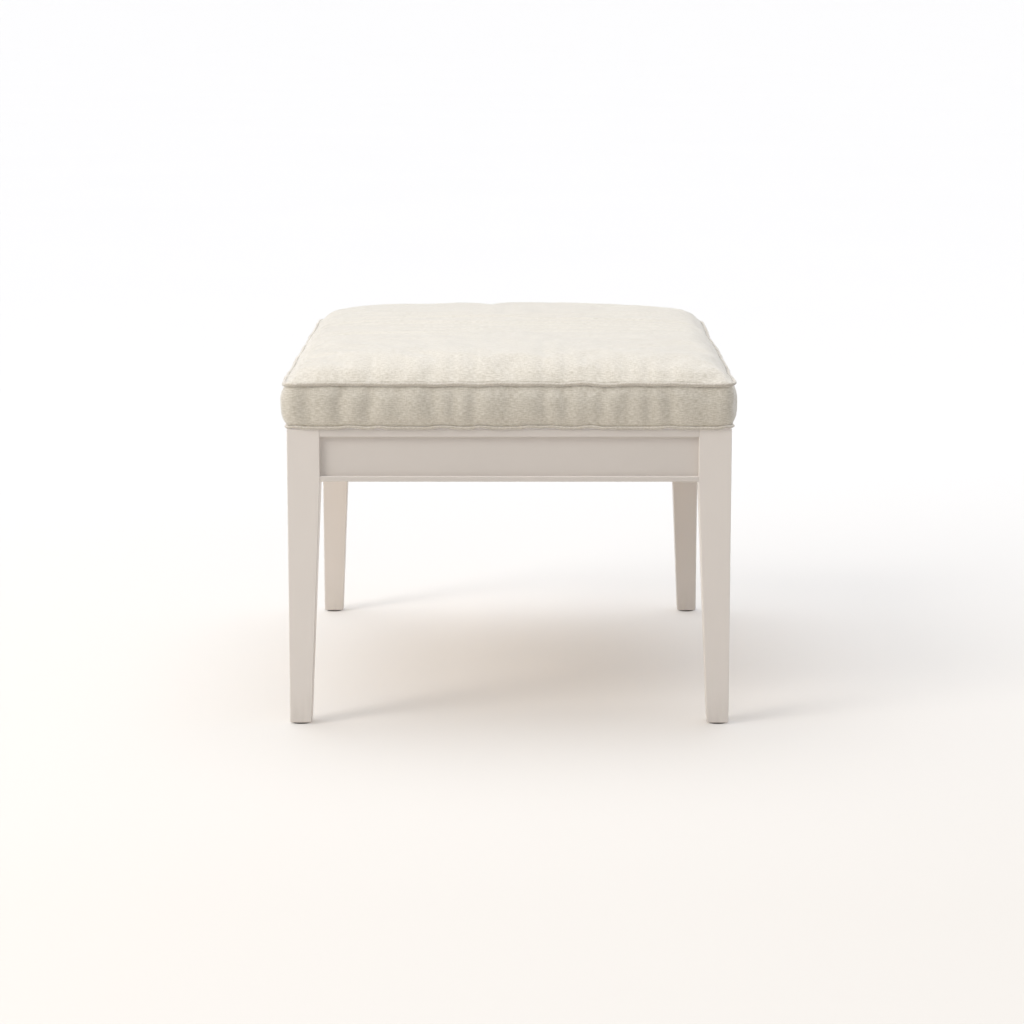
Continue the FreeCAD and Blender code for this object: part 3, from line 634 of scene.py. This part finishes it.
def ring_tube(name, radius, flatness, height, rise_of, sway, s):
    """Tube along the seam: centre = seam + outwards * sway, height + rise. The section is
    radius * (outwards * cos a + up * flatness * sin a). UV turns (s, distance round) by 45
    degrees."""
    ring, out = seam_ring(s)
    share = 1 - rear_share(s)
    centre = np.stack([*(ring + out * (sway * share)[:, None]).T, height + rise_of], -1)
    turn = np.linspace(0, 2 * math.pi, PIPING_SIDES, endpoint=False)
    outward = np.stack([*out.T, np.zeros(len(s))], -1)
    size = radius * (1 + PINCH * pinch(s))
    points = centre[:, None] + size[:, None, None] * (
        outward[:, None] * np.cos(turn)[None, :, None] + [0, 0, flatness] * np.sin(turn)[None, :, None])
    around, length = np.meshgrid(turn * radius, s)
    uv = np.stack([length + around, length - around], -1) * math.sqrt(0.5)
    faces = grid_faces(len(s), PIPING_SIDES, True, True)[:, ::-1]
    return volume_of(smoother(new_piece(name, points, faces, uv)))


def piping():
    s = np.linspace(0, RING_LENGTH, PIPING_STEPS, endpoint=False)
    made = []
    pressed = BOTTOM_SEAM - WELT_RADIUS * (1 - PRESSED_FLAT)
    for edge, flatness, height, rise_of, sway in (
            ("top", 1.0, TOP_SEAM, TOP_RISE * top_rise(s), top_out(s)),
            ("bottom", PRESSED_FLAT, pressed, bottom_lift(s), BOTTOM_SWAY * bottom_sway(s))):
        made.append(ring_tube(edge + "_piping", WELT_RADIUS, flatness, height, rise_of, sway, s))
        made.append(ring_tube(edge + "_piping_cord", CORD_RADIUS, flatness, height, rise_of, sway, s))
    return made


top_piping, top_cord, bottom_piping, bottom_cord = piping()

# %% [markdown]
# ## The filling
# The foam is a block with softened edges, the lower fibre a thin slab, and the upper fibre
# fills the crown up to the cloth. Each is a closed form: two grids joined by a wall.

# %% Foam and fibre
FILL_CELLS = (60, 80)
FIBRE_REACH = 3
FIBRE_AIR = 3.0 * MM
EDGE_SOFTNESS = 7 * MM


def rim_of(numbers):
    """Numbers once round a grid's edge, anticlockwise from the front left corner."""
    return np.concatenate([numbers[0, :-1], numbers[:-1, -1], numbers[-1, :0:-1], numbers[:0:-1, 0]])


def closed_form(name, upper, lower):
    """Joins two grids of the same size into one closed form with outward faces."""
    rows, cols = upper.shape[:2]
    numbers = np.arange(rows * cols).reshape(rows, cols)
    faces = grid_faces(rows, cols)
    ring = rim_of(numbers)
    after = np.roll(ring, -1)
    wall = np.stack([ring + rows * cols, after + rows * cols, after, ring], -1)
    everything = np.concatenate([faces, faces[:, ::-1] + rows * cols, wall])
    points = np.concatenate([upper.reshape(-1, 3), lower.reshape(-1, 3)])
    return volume_of(smoother(new_piece(name, points, everything)))


def slab(name, node):
    """A block on the node's box. Its faces dip by softness * (1 - d) ** 2 near the rim,
    where d is the distance from the rim over the softness."""
    low, high = span(node)
    inset = SEAM_X - high[0]
    x, y = panel_grid(inset, FILL_CELLS)
    gap, _ = nearest_on_seam(x, y)
    depth = min(EDGE_SOFTNESS, (high[2] - low[2]) / 3)
    dip = depth * np.clip(1 - (gap - inset) / EDGE_SOFTNESS, 0, 1) ** 2
    return closed_form(name, np.stack([x, y, high[2] - dip], -1), np.stack([x, y, low[2] + dip], -1))


def lowest_nearby(z, reach):
    """Each height's lowest neighbour within so many cells, rows first and then columns."""
    for axis in (0, 1):
        z = np.min([np.roll(z, step, axis) for step in range(-reach, reach + 1)], axis=0)
    return z


def upper_fibre():
    """Follows the top panel from below, with air between, and keeps under every dip."""
    x, y = panel_grid(SEAM_X - span("foam_core")[1][0], FILL_CELLS)
    across, along_it = top_points.shape[1], top_points.shape[0]
    columns = np.interp(x, np.linspace(-SEAM_X, SEAM_X, across), np.arange(across))
    rows = np.interp(y, np.linspace(-SEAM_Y, SEAM_Y, along_it), np.arange(along_it))
    calm = lowest_nearby(top_points[..., 2], FIBRE_REACH)
    under = calm[np.round(rows).astype(int), np.round(columns).astype(int)]
    base = span("fibre_pad_top")[0][2]
    upper = np.maximum(under - FIBRE_AIR, base + 1.0 * MM)
    lower = np.full_like(x, base)
    return closed_form("fibre_upper", np.stack([x, y, upper], -1), np.stack([x, y, lower], -1))


foam = slab("foam_block", "foam_core")
fibre_lower = slab("fibre_lower", "fibre_pad_bottom")
fibre_upper = upper_fibre()

# %% [markdown]
# ## The zip
# The cover comes off through a zip in its rear: two woven tapes, a nylon coil on each, and
# rows of stitches. A coil is a long flattened helix of hundreds of turns, so each
# has few points. Slider, pull and end stops come from the design.

# %% Tapes, coils and stitches
COIL_WIRE = 0.3 * MM
COIL_PITCH = 1.5 * MM
COIL_TURN_POINTS = 8
COIL_SIDES = 5
STITCH_STEP = 3.4 * MM
STITCH_GAP = 1.0 * MM
STITCH_RADIUS = 0.22 * MM
STITCH_FROM_EDGE = 2.2 * MM


def swept(path, radius, sides):
    """Tube along a path of points (n, 3): radius * (side * cos a + over * sin a), where
    side is square to the path and to +X, and over is square to both. Its ends are closed
    by drawing the last ring in to the path."""
    ahead = np.gradient(path, axis=0)
    ahead /= np.linalg.norm(ahead, axis=1)[:, None]
    side = np.cross(ahead, [1.0, 0.0, 0.0])
    side /= np.linalg.norm(side, axis=1)[:, None]
    over = np.cross(side, ahead)
    turn = np.linspace(0, 2 * math.pi, sides, endpoint=False)
    size = np.full(len(path), radius)
    size[[0, -1]] = 0
    ring = side[:, None] * np.cos(turn)[None, :, None] + over[:, None] * np.sin(turn)[None, :, None]
    return path[:, None] + size[:, None, None] * ring


def zip_coil(name, node, hand):
    """Helix in the node's box: x grows evenly while (y, z) goes round an ellipse."""
    low, high = span(node)
    turns = int((high[0] - low[0] - 2 * COIL_WIRE) / COIL_PITCH)
    angle = np.linspace(0, 2 * math.pi * turns, turns * COIL_TURN_POINTS + 1)
    middle = (low + high) / 2
    half_y, half_z = (high - low)[1:] / 2 - COIL_WIRE
    path = np.stack([np.linspace(low[0] + COIL_WIRE, high[0] - COIL_WIRE, len(angle)),
                     middle[1] + half_y * np.cos(angle), middle[2] + hand * half_z * np.sin(angle)], -1)
    points = swept(path, COIL_WIRE, COIL_SIDES)
    faces = grid_faces(len(path), COIL_SIDES, False, True)[:, ::-1]
    return volume_of(close_poles(new_piece(name, points, faces)))


def tape(name, node):
    """Flat woven strip with its real thickness, facing the rear."""
    low, high = span(node)
    x, z = np.meshgrid(np.linspace(low[0], high[0], 97), np.linspace(low[2], high[2], 7))
    grid = np.stack([x, np.full_like(x, high[1]), z], -1)
    piece = new_piece(name, grid, grid_faces(*x.shape)[:, ::-1], np.stack([x, z], -1))
    return thicker(piece, high[1] - low[1])


def zip_stitches():
    """A row of short threads along each strip: each is an arch that dips into the cloth."""
    count = int(2 * (ZIP_HALF - 3 * MM) / STITCH_STEP)
    starts = -ZIP_HALF + 3 * MM + STITCH_STEP * np.arange(count)
    t = np.linspace(0, 1, 6)
    turn = np.linspace(0, 2 * math.pi, 6, endpoint=False)
    size = STITCH_RADIUS * np.array([0, 1, 1, 1, 1, 0])
    points, faces = [], []
    for side in (-1, 1):
        z0 = ZIP_HEIGHT + side * (OPENING_HALF + STITCH_FROM_EDGE)
        grid = band_surface(np.array([0.0]), np.array([levels[0], z0, levels[-1]]))
        y0 = grid[1, 0, 1]
        x = starts[:, None] + t * (STITCH_STEP - STITCH_GAP)
        y = y0 + STITCH_RADIUS * (np.sin(math.pi * t) - 0.4)
        ring_y = size[:, None] * np.cos(turn)
        ring_z = size[:, None] * np.sin(turn)
        block = np.stack([np.broadcast_to(x[:, :, None], (count, 6, 6)),
                          np.broadcast_to(y[None, :, None] + ring_y[None], (count, 6, 6)),
                          np.broadcast_to(z0 + ring_z[None], (count, 6, 6))], -1)
        base = sum(len(p) for p in points)
        one = grid_faces(6, 6, False, True)
        faces.append((one[None] + base + 36 * np.arange(count)[:, None, None]).reshape(-1, 4))
        points.append(block.reshape(-1, 3))
    return volume_of(close_poles(new_piece("zip_stitches", np.concatenate(points), np.concatenate(faces))))


coil_upper = zip_coil("zip_coil_upper", "zip_chain_upper", 1)
coil_lower = zip_coil("zip_coil_lower", "zip_chain_lower", -1)
tape_upper = tape("zip_tape_woven_upper", "zip_tape_upper")
tape_lower = tape("zip_tape_woven_lower", "zip_tape_lower")
stitches = zip_stitches()

# %% [markdown]
# ## Shader groups that several finishes share
# A node group is a small recipe with named inputs. These give out colours, masks or
# heights only. The gloss and sheen stay in the material.

# %% Node helpers
def new_group(name, inputs, outputs):
    """Starts a shader group that takes coordinates and sockets (name, kind, default). Hands
    back the group, its wiring, the sockets that it is given and those that it gives."""
    group = bpy.data.node_groups.new(name, "ShaderNodeTree")
    group.interface.new_socket("Vector", in_out="INPUT", socket_type="NodeSocketVector")
    for label, kind, default in inputs:
        socket = group.interface.new_socket(label, in_out="INPUT", socket_type="NodeSocket" + kind)
        socket.default_value = default
    for label, kind in outputs:
        group.interface.new_socket(label, in_out="OUTPUT", socket_type="NodeSocket" + kind)
    given, result = group.nodes.new("NodeGroupInput"), group.nodes.new("NodeGroupOutput")
    return group, Wiring(group), given.outputs, result.inputs


class Wiring:
    """Short ways to add and join nodes in one tree."""

    def __init__(self, tree):
        self.tree = tree

    def put(self, socket, value):
        """Joins a socket to another socket, or sets its value."""
        if isinstance(value, bpy.types.NodeSocket):
            self.tree.links.new(value, socket)
        else:
            socket.default_value = value

    def fill(self, sockets, **values):
        """Puts several values by the sockets' names, with _ for a space."""
        for label, value in values.items():
            self.put(sockets[label.replace("_", " ")], value)

    def math(self, operation, a, b=0.0, clamp=False):
        node = self.tree.nodes.new("ShaderNodeMath")
        node.operation = operation
        node.use_clamp = clamp
        self.put(node.inputs[0], a)
        self.put(node.inputs[1], b)
        return node.outputs[0]

    def times(self, a, b):
        return self.math("MULTIPLY", a, b)

    def plus(self, a, b):
        return self.math("ADD", a, b)

    def minus(self, a, b, clamp=False):
        return self.math("SUBTRACT", a, b, clamp)

    def stretch(self, vector, scale, turn=(0, 0, 0)):
        """Scales and turns coordinates."""
        node = self.tree.nodes.new("ShaderNodeMapping")
        self.fill(node.inputs, Vector=vector, Scale=scale, Rotation=[math.radians(angle) for angle in turn])
        return node.outputs[0]

    def noise(self, vector, scale, detail=2.0, roughness=0.5):
        node = self.tree.nodes.new("ShaderNodeTexNoise")
        self.fill(node.inputs, Vector=vector, Scale=scale, Detail=detail, Roughness=roughness)
        return node.outputs["Fac"]

    def spread(self, value, low, high, to_low=0.0, to_high=1.0):
        """Maps a range of values to another, clamped."""
        node = self.tree.nodes.new("ShaderNodeMapRange")
        self.fill(node.inputs, Value=value, From_Min=low, From_Max=high, To_Min=to_low, To_Max=to_high)
        return node.outputs[0]

    def blend(self, share, a, b, way="MIX"):
        """Mixes two colours."""
        node = self.tree.nodes.new("ShaderNodeMix")
        node.data_type = "RGBA"
        node.blend_type = way
        for number, value in ((0, share), (6, a), (7, b)):
            self.put(node.inputs[number], value)
        return node.outputs[2]

    def parts(self, vector):
        node = self.tree.nodes.new("ShaderNodeSeparateXYZ")
        self.put(node.inputs[0], vector)
        return node.outputs


# %% [markdown]
# **Tone drift.** No painted, sawn or woven surface is one even colour. This group lightens
# and darkens a colour by a few parts in a hundred, in soft patches.

# %% Tone drift
def make_tone_drift():
    group, w, given, result = new_group(
        "tone_drift",
        (("Colour", "Color", (0.5, 0.5, 0.5, 1)), ("Scale", "Float", 6.0),
         ("Amount", "Float", 0.05)),
        (("Colour", "Color"),))
    patches = w.spread(w.noise(given["Vector"], given["Scale"], 3.0), 0.3, 0.7)
    factor = w.plus(w.minus(1.0, given["Amount"]), w.times(patches, w.times(given["Amount"], 1.6)))
    grey = group.nodes.new("ShaderNodeCombineColor")
    for socket in grey.inputs:
        w.put(socket, factor)
    w.fill(result, Colour=w.blend(1.0, given["Colour"], grey.outputs[0], "MULTIPLY"))
    return group


TONE_DRIFT = make_tone_drift()

# %% [markdown]
# **Plain weave.** The height is the larger of two rows of round threads, and a
# checkerboard says which is on top. Linen's slubs, uneven stretches of thread, are long
# thin noise along each direction.

# %% Plain weave
def make_plain_weave():
    group, w, given, result = new_group(
        "plain_weave",
        (("Threads per metre", "Float", 900.0), ("Slub", "Float", 0.5)),
        (("Height", "Float"), ("Flecks", "Float"), ("Gaps", "Float")))
    vector = given["Vector"]
    bend = w.times(w.noise(w.stretch(vector, (60, 60, 60)), 1.0, 1.0), 1.5)
    wave_u, wave_v = (
        w.math("SINE", w.times(w.plus(w.times(part, given["Threads per metre"]), bend), math.pi))
        for part in w.parts(vector)[:2])
    over = w.times(w.spread(w.times(wave_u, wave_v), -0.5, 0.5), 0.55)
    round_u, round_v = w.math("ABSOLUTE", wave_u), w.math("ABSOLUTE", wave_v)
    height_u = w.times(round_u, w.plus(0.45, over))
    height_v = w.times(round_v, w.minus(1.0, over))
    weft = w.noise(w.stretch(vector, (170, 800, 1)), 1.0, 2.0, 0.6)
    warp = w.noise(w.stretch(vector, (800, 170, 1)), 1.0, 2.0, 0.6)
    slub = w.plus(w.times(weft, 0.7), w.times(warp, 0.3))
    # Gaps marks the low places between the threads, which the linen darkens as painted shade.
    w.fill(result, Height=w.plus(w.math("MAXIMUM", height_u, height_v), w.times(slub, given["Slub"])),
           Flecks=w.spread(slub, 0.38, 0.62),
           Gaps=w.spread(w.math("MAXIMUM", round_u, round_v), 0.35, 0.0))
    return group


PLAIN_WEAVE = make_plain_weave()

# %% [markdown]
# **Wood grain.** Sawn softwood shows growth rings as long wavering bands with fine pores
# along them. Noise stretched along the board bends the bands and draws the pores.

# %% Wood grain
def make_wood_grain():
    group, w, given, result = new_group(
        "wood_grain",
        (("Early wood", "Color", (0.6, 0.4, 0.2, 1)),
         ("Late wood", "Color", (0.4, 0.2, 0.1, 1)), ("Rings per metre", "Float", 90.0)),
        (("Colour", "Color"), ("Height", "Float")))
    warp = w.noise(given["Vector"], 7.0, 2.0)
    _, y, z = w.parts(given["Vector"])
    across = w.plus(w.plus(y, w.times(z, 1.7)), w.times(warp, 0.05))
    late = w.math("POWER", w.math("FRACT", w.times(across, given["Rings per metre"])), 3.0)
    pores = w.noise(w.stretch(given["Vector"], (60, 1400, 1400)), 1.0, 2.0, 0.7)
    tone = w.plus(w.times(late, 0.7), w.times(pores, 0.35))
    w.fill(result, Colour=w.blend(tone, given["Early wood"], given["Late wood"]), Height=w.minus(late, pores))
    return group


WOOD_GRAIN = make_wood_grain()

# %% [markdown]
# **Fine grit.** Paint, nylon and plated metal are all finely uneven, and gather rubs and
# dust low down, where feet and brooms reach. The dust mask grows towards the floor.

# %% Fine grit
def make_fine_grit():
    group, w, given, result = new_group(
        "fine_grit",
        (("Grains per metre", "Float", 700.0), ("Dust height", "Float", 0.05)),
        (("Height", "Float"), ("Rubs", "Float"), ("Dust", "Float")))
    vector = given["Vector"]
    streaks = w.noise(w.stretch(vector, (140, 140, 22)), 1.0, 3.0, 0.6)
    low = w.minus(1.0, w.math("DIVIDE", w.parts(vector)[2], given["Dust height"]), clamp=True)
    w.fill(result, Height=w.noise(vector, given["Grains per metre"], 2.0, 0.6),
           Rubs=w.spread(streaks, 0.35, 0.75), Dust=w.times(low, w.spread(streaks, 0.3, 0.7)))
    return group


FINE_GRIT = make_fine_grit()
print("groups", [group.name for group in (TONE_DRIFT, PLAIN_WEAVE, WOOD_GRAIN, FINE_GRIT)])

# %% [markdown]
# ## Materials
# A material starts with a Principled shader and coordinates: the piece's own place in the
# frame, or its cloth map. It ends by joining colour, roughness and height to the shader.

# %% Material helper
class Finish(Wiring):
    """A new material with its wiring, its Principled shader and its coordinates."""

    def __init__(self, name, coordinates="Object"):
        self.material = bpy.data.materials.new(name)
        self.material.use_nodes = True
        super().__init__(self.material.node_tree)
        self.shader = self.tree.nodes["Principled BSDF"].inputs
        if coordinates == "Object":
            self.place = self.tree.nodes.new("ShaderNodeTexCoord").outputs["Object"]
        else:
            cloth_map = self.tree.nodes.new("ShaderNodeUVMap")
            cloth_map.uv_map = coordinates
            self.place = cloth_map.outputs["UV"]

    def grouped(self, group, **values):
        """Places a shader group on the coordinates, and fills its other sockets."""
        node = self.tree.nodes.new("ShaderNodeGroup")
        node.node_tree = group
        self.fill(node.inputs, **{"Vector": self.place, **values})
        return node.outputs

    def done(self, colour, roughness, height=None, bump=(0.0, 1.0), drift=None, **plain):
        """Joins the colour, which may drift by (scale, amount), the roughness, the height
        as a bump of (distance, strength), and sockets that are the same all over."""
        if drift:
            colour = self.grouped(TONE_DRIFT, Colour=colour, Scale=drift[0], Amount=drift[1])["Colour"]
        self.fill(self.shader, Base_Color=colour, Roughness=roughness, **plain)
        if height is not None:
            node = self.tree.nodes.new("ShaderNodeBump")
            self.fill(node.inputs, Distance=bump[0], Strength=bump[1], Height=height)
            self.fill(self.shader, Normal=node.outputs[0])
        return self.material


# %% [markdown]
# ** Linen.** Oatmeal linen with pale and dark flecks, almost no gloss, and a soft fuzz that
# catches the light at the edges, which is the shader's sheen. Panels and piping share it, and
# the piping's copy is a tone darker as painted shade.

# %% Linen
LINEN = srgb("C6BEAF")
# The piping's copy of the linen, a tone darker as painted shade.
LINEN_PIPING_SHADED = srgb("BDB3A5")
LINEN_DARK = srgb("ACA390")
LINEN_PALE = srgb("E6E0D5")


def linen(name, ground, drift):
    w = Finish(name, "cloth")
    weave = w.grouped(PLAIN_WEAVE, Threads_per_metre=900.0, Slub=0.8)
    colour = w.blend(0.5, ground, w.blend(weave["Flecks"], LINEN_DARK, LINEN_PALE))
    # Painted shade: the gaps between the threads are darkened.
    colour = w.blend(w.times(weave["Gaps"], 0.35), colour, LINEN_DARK)
    return w.done(colour, w.spread(weave["Flecks"], 0.0, 1.0, 0.82, 0.94), weave["Height"], (0.4 * MM, 0.55),
                  drift=(22.0, drift), Sheen_Weight=0.6, Sheen_Roughness=0.5, Specular_IOR_Level=0.25)


linen_panel = linen("oatmeal_linen", LINEN, 0.03)
linen_piping_shaded = linen("oatmeal_linen_piping_shaded", LINEN_PIPING_SHADED, 0.05)

# %% [markdown]
# ** Paint.** A warm grey satin paint, sprayed, so almost flat with a faint ripple. The feet
# carry a trace of dust. The rails take a copy a tone deeper: painted shade, for the shade
# they lie in, back under the cushion.

# %% Paint
PAINT = srgb("DAD2CA")
# Painted shade: the rails' copy of the paint is a tone deeper.
PAINT_WITH_RAIL_SHADE = srgb("CFC7BF")


def satin_paint(name, colour):
    w = Finish(name)
    toned = w.grouped(TONE_DRIFT, Colour=colour, Scale=9.0, Amount=0.012)
    grit = w.grouped(FINE_GRIT, Grains_per_metre=520.0, Dust_height=0.045)
    colour = w.blend(w.times(grit["Dust"], 0.22), toned["Colour"], srgb("A9A196"))
    return w.done(colour, w.spread(grit["Rubs"], 0.0, 1.0, 0.36, 0.46), grit["Height"], (0.06 * MM, 0.5),
                  Specular_IOR_Level=0.45, Coat_Roughness=0.3)


paint = satin_paint("greige_satin_paint", PAINT)
rail_paint_with_painted_shade = satin_paint("greige_satin_paint_with_rail_shade", PAINT_WITH_RAIL_SHADE)

# %% [markdown]
# **Bare wood.** Corner blocks, cleats and the rail are sawn pine. The deck is plywood: its
# faces show one wide cut veneer and its edge the stacked plies, which turn with the height.

# %% Pine and plywood
PLY_PAIR = 3.0 * MM


def pine_wood():
    w = Finish("sawn_pine")
    wood = w.grouped(WOOD_GRAIN, Early_wood=srgb("DDBE8C"), Late_wood=srgb("B98A52"), Rings_per_metre=150.0)
    return w.done(wood["Colour"], w.spread(wood["Height"], -0.5, 1.0, 0.72, 0.55), wood["Height"],
                  (0.12 * MM, 0.6), drift=(14.0, 0.06))


def plywood():
    w = Finish("birch_plywood")
    wood = w.grouped(WOOD_GRAIN, Vector=w.stretch(w.place, (1, 0.35, 30)), Early_wood=srgb("E3CBA2"),
                     Late_wood=srgb("DABF94"), Rings_per_metre=16.0)
    ply = w.math("FRACT", w.times(w.parts(w.place)[2], 1 / PLY_PAIR))
    stripe = w.times(w.math("GREATER_THAN", ply, 0.5), 0.28)
    return w.done(w.blend(stripe, wood["Colour"], srgb("A87B4C")),
                  w.spread(wood["Height"], -0.5, 1.0, 0.66, 0.52), wood["Height"], (0.02 * MM, 0.3),
                  drift=(5.0, 0.05))


pine = pine_wood()
ply_deck = plywood()

# %% [markdown]
# **Metal and nylon.** Zinc plating is bright but cloudy, so its roughness changes in small
# patches. The zip's slider is the same recipe, darker. Glides and coils are nylon.

# %% Metal and nylon
def plated(name, pale, dark, rough):
    w = Finish(name)
    grit = w.grouped(FINE_GRIT, Grains_per_metre=1800.0, Dust_height=0.01)
    return w.done(w.blend(grit["Rubs"], pale, dark), w.spread(grit["Rubs"], 0.0, 1.0, rough, rough + 0.2),
                  grit["Height"], (0.02 * MM, 0.5), Metallic=1.0)


def moulded_nylon(name, colour, dusty):
    w = Finish(name)
    grit = w.grouped(FINE_GRIT, Grains_per_metre=1500.0, Dust_height=0.004)
    toned = w.grouped(TONE_DRIFT, Colour=colour, Scale=60.0, Amount=0.08)
    colour = w.blend(w.times(grit["Dust"], dusty), toned["Colour"], srgb("B8B0A4"))
    return w.done(colour, w.spread(grit["Rubs"], 0.0, 1.0, 0.38, 0.58), grit["Height"], (0.03 * MM, 0.5))


zinc = plated("zinc_plating", srgb("C9CCD0"), srgb("9DA1A6"), 0.28)
zip_metal = plated("zip_nickel", srgb("BDB9B1"), srgb("8F8B84"), 0.22)
glide_nylon = moulded_nylon("glide_nylon", srgb("3A3633"), 0.3)
coil_nylon = moulded_nylon("coil_nylon", srgb("D9D2C5"), 0.0)

# %% [markdown]
# **Filling, cord, tape and thread.** Foam is a froth of tiny cells, fibre a matted fluff,
# and the cord twisted cotton, whose twist follows its cloth map.

# %% Foam, fibre, cord and tape
CORD_TWIST = 1.2 * MM


def foamed():
    w = Finish("open_cell_foam")
    cells = w.tree.nodes.new("ShaderNodeTexVoronoi")
    w.fill(cells.inputs, Scale=900.0, Vector=w.place)
    depth = w.spread(cells.outputs["Distance"], 0.0, 0.7)
    # The cells' hollows are darker: painted shade.
    return w.done(w.blend(depth, srgb("E9DFA9"), srgb("F6F0CF")), 0.95, depth, (0.5 * MM, 1.0),
                  drift=(12.0, 0.05), Specular_IOR_Level=0.2)


def fluffed():
    w = Finish("polyester_fibre")
    strands = w.noise(w.stretch(w.place, (700, 120, 300)), 1.0, 4.0, 0.7)
    return w.done(w.blend(strands, srgb("E4E4E2"), srgb("FAFAF8")), 0.98, strands, (1.0 * MM, 1.0),
                  drift=(30.0, 0.06), Sheen_Weight=0.3)


def twisted_cotton():
    w = Finish("cotton_cord", "cloth")
    # The twist's grooves are darker: painted shade.
    twist_and_groove_shade = w.math("ABSOLUTE", w.math("SINE", w.times(w.parts(w.place)[0], math.pi / CORD_TWIST)))
    return w.done(w.blend(twist_and_groove_shade, srgb("CFC8B8"), srgb("F2EEE4")), 0.9, twist_and_groove_shade, (0.4 * MM, 1.0),
                  drift=(80.0, 0.06), Sheen_Weight=0.2)


def woven_tape():
    w = Finish("zip_tape_twill", "cloth")
    weave = w.grouped(PLAIN_WEAVE, Vector=w.stretch(w.place, (1, 1, 1), (0, 0, 45)),
                      Threads_per_metre=2200.0, Slub=0.2)
    return w.done(w.blend(weave["Flecks"], srgb("CBC4B5"), srgb("DFD9CD")), 0.85, weave["Height"],
                  (0.15 * MM, 1.0), drift=(40.0, 0.04), Specular_IOR_Level=0.3)


def sewing_thread():
    w = Finish("linen_thread")
    ply = w.noise(w.stretch(w.place, (3000, 900, 900)), 1.0, 2.0)
    return w.done(w.blend(ply, srgb("C9C1B0"), srgb("E6E0D3")), 0.7, ply, (0.08 * MM, 1.0), Sheen_Weight=0.2)


foam_look, fibre_look, cord_look, tape_look, thread_look = (
    foamed(), fluffed(), twisted_cotton(), woven_tape(), sewing_thread())
print(len(bpy.data.materials), "materials")

# %% [markdown]
# ## The studio floor
# Matt white, with the faint cloudiness of painted board. Towards the viewer it is a touch
# darker and warmer, which is painted shade for light that falls off there.

# %% Floor finish
FLOOR_NEAR_WITH_PAINTED_FALLOFF = srgb("CAC5BE")
FLOOR_FAR = srgb("D5D3D0")


def studio_floor():
    w = Finish("white_sweep")
    # Darker and warmer towards the viewer: painted shade for the falling off of the light.
    colour = w.blend(w.spread(w.parts(w.place)[1], -1.2, 2.0), FLOOR_NEAR_WITH_PAINTED_FALLOFF, FLOOR_FAR)
    return w.done(colour, 0.9, drift=(0.8, 0.004), Specular_IOR_Level=0.1)


floor.data.materials.append(studio_floor())

# %% [markdown]
# ## Dressing every piece
# Each new piece gets its material, rides on the cushion, and stands for a plain solid of the
# design. The design's own nodes get a material by the start of their name, and a node that no
# rule covers stops the script.

# %% Give every piece its finish
# Material, slot, and pieces with the node that each stands for.
NEW_PIECES = (
    (linen_panel, "cover_cloth", (
        (top_panel, "cover_top"), (side_band, "boxing_band"), (bottom_panel, "cover_bottom"),
        (strip_upper, "zip_band_upper"), (strip_lower, "zip_band_lower"))),
    (linen_piping_shaded, "cover_cloth", ((top_piping, "top_welt"), (bottom_piping, "bottom_welt"))),
    (cord_look, "cotton_cord", ((top_cord, "top_welt_cord"), (bottom_cord, "bottom_welt_cord"))),
    (foam_look, "foam", ((foam, "foam_core"),)),
    (fibre_look, "fibre", ((fibre_upper, "fibre_pad_top"), (fibre_lower, "fibre_pad_bottom"))),
    (coil_nylon, "zip_nylon", ((coil_upper, "zip_chain_upper"), (coil_lower, "zip_chain_lower"))),
    (tape_look, "zip_tape", ((tape_upper, "zip_tape_upper"), (tape_lower, "zip_tape_lower"))),
    (thread_look, "cover_cloth", ((stitches, None),)),
)
for material, slot, pairs in NEW_PIECES:
    for piece, node in pairs:
        piece.data.materials.append(material)
        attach(piece, CUSHION_BODY)
        if node:
            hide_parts(node)

NODE_FINISHES = (
    (("leg_",), paint),
    # The rails get the deeper copy of the paint, which is painted shade.
    (("apron_", "top_bead_", "bottom_bead_"), rail_paint_with_painted_shade),
    (("corner_block_screws", "cleat_screws", "deck_screws", "hanger_bolts", "bolt_washers", "hex_nuts",
      "glide_nails"), zinc),
    (("glide_",), glide_nylon),
    (("corner_block_", "cleat_", "centre_rail"), pine),
    (("seat_deck",), ply_deck),
    (("zip_stops", "zip_slider", "zip_pull"), zip_metal),
)


def finish_for(name):
    for starts, material in NODE_FINISHES:
        if name.startswith(starts):
            return material
    raise KeyError("no finish for " + name)


shown = [name for name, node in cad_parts.items() if not node.hide_render]
for name in shown:
    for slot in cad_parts[name].material_slots:
        slot.material = finish_for(name)
print(len(shown), "nodes dressed,", sum(len(pairs) for *_, pairs in NEW_PIECES), "new pieces")
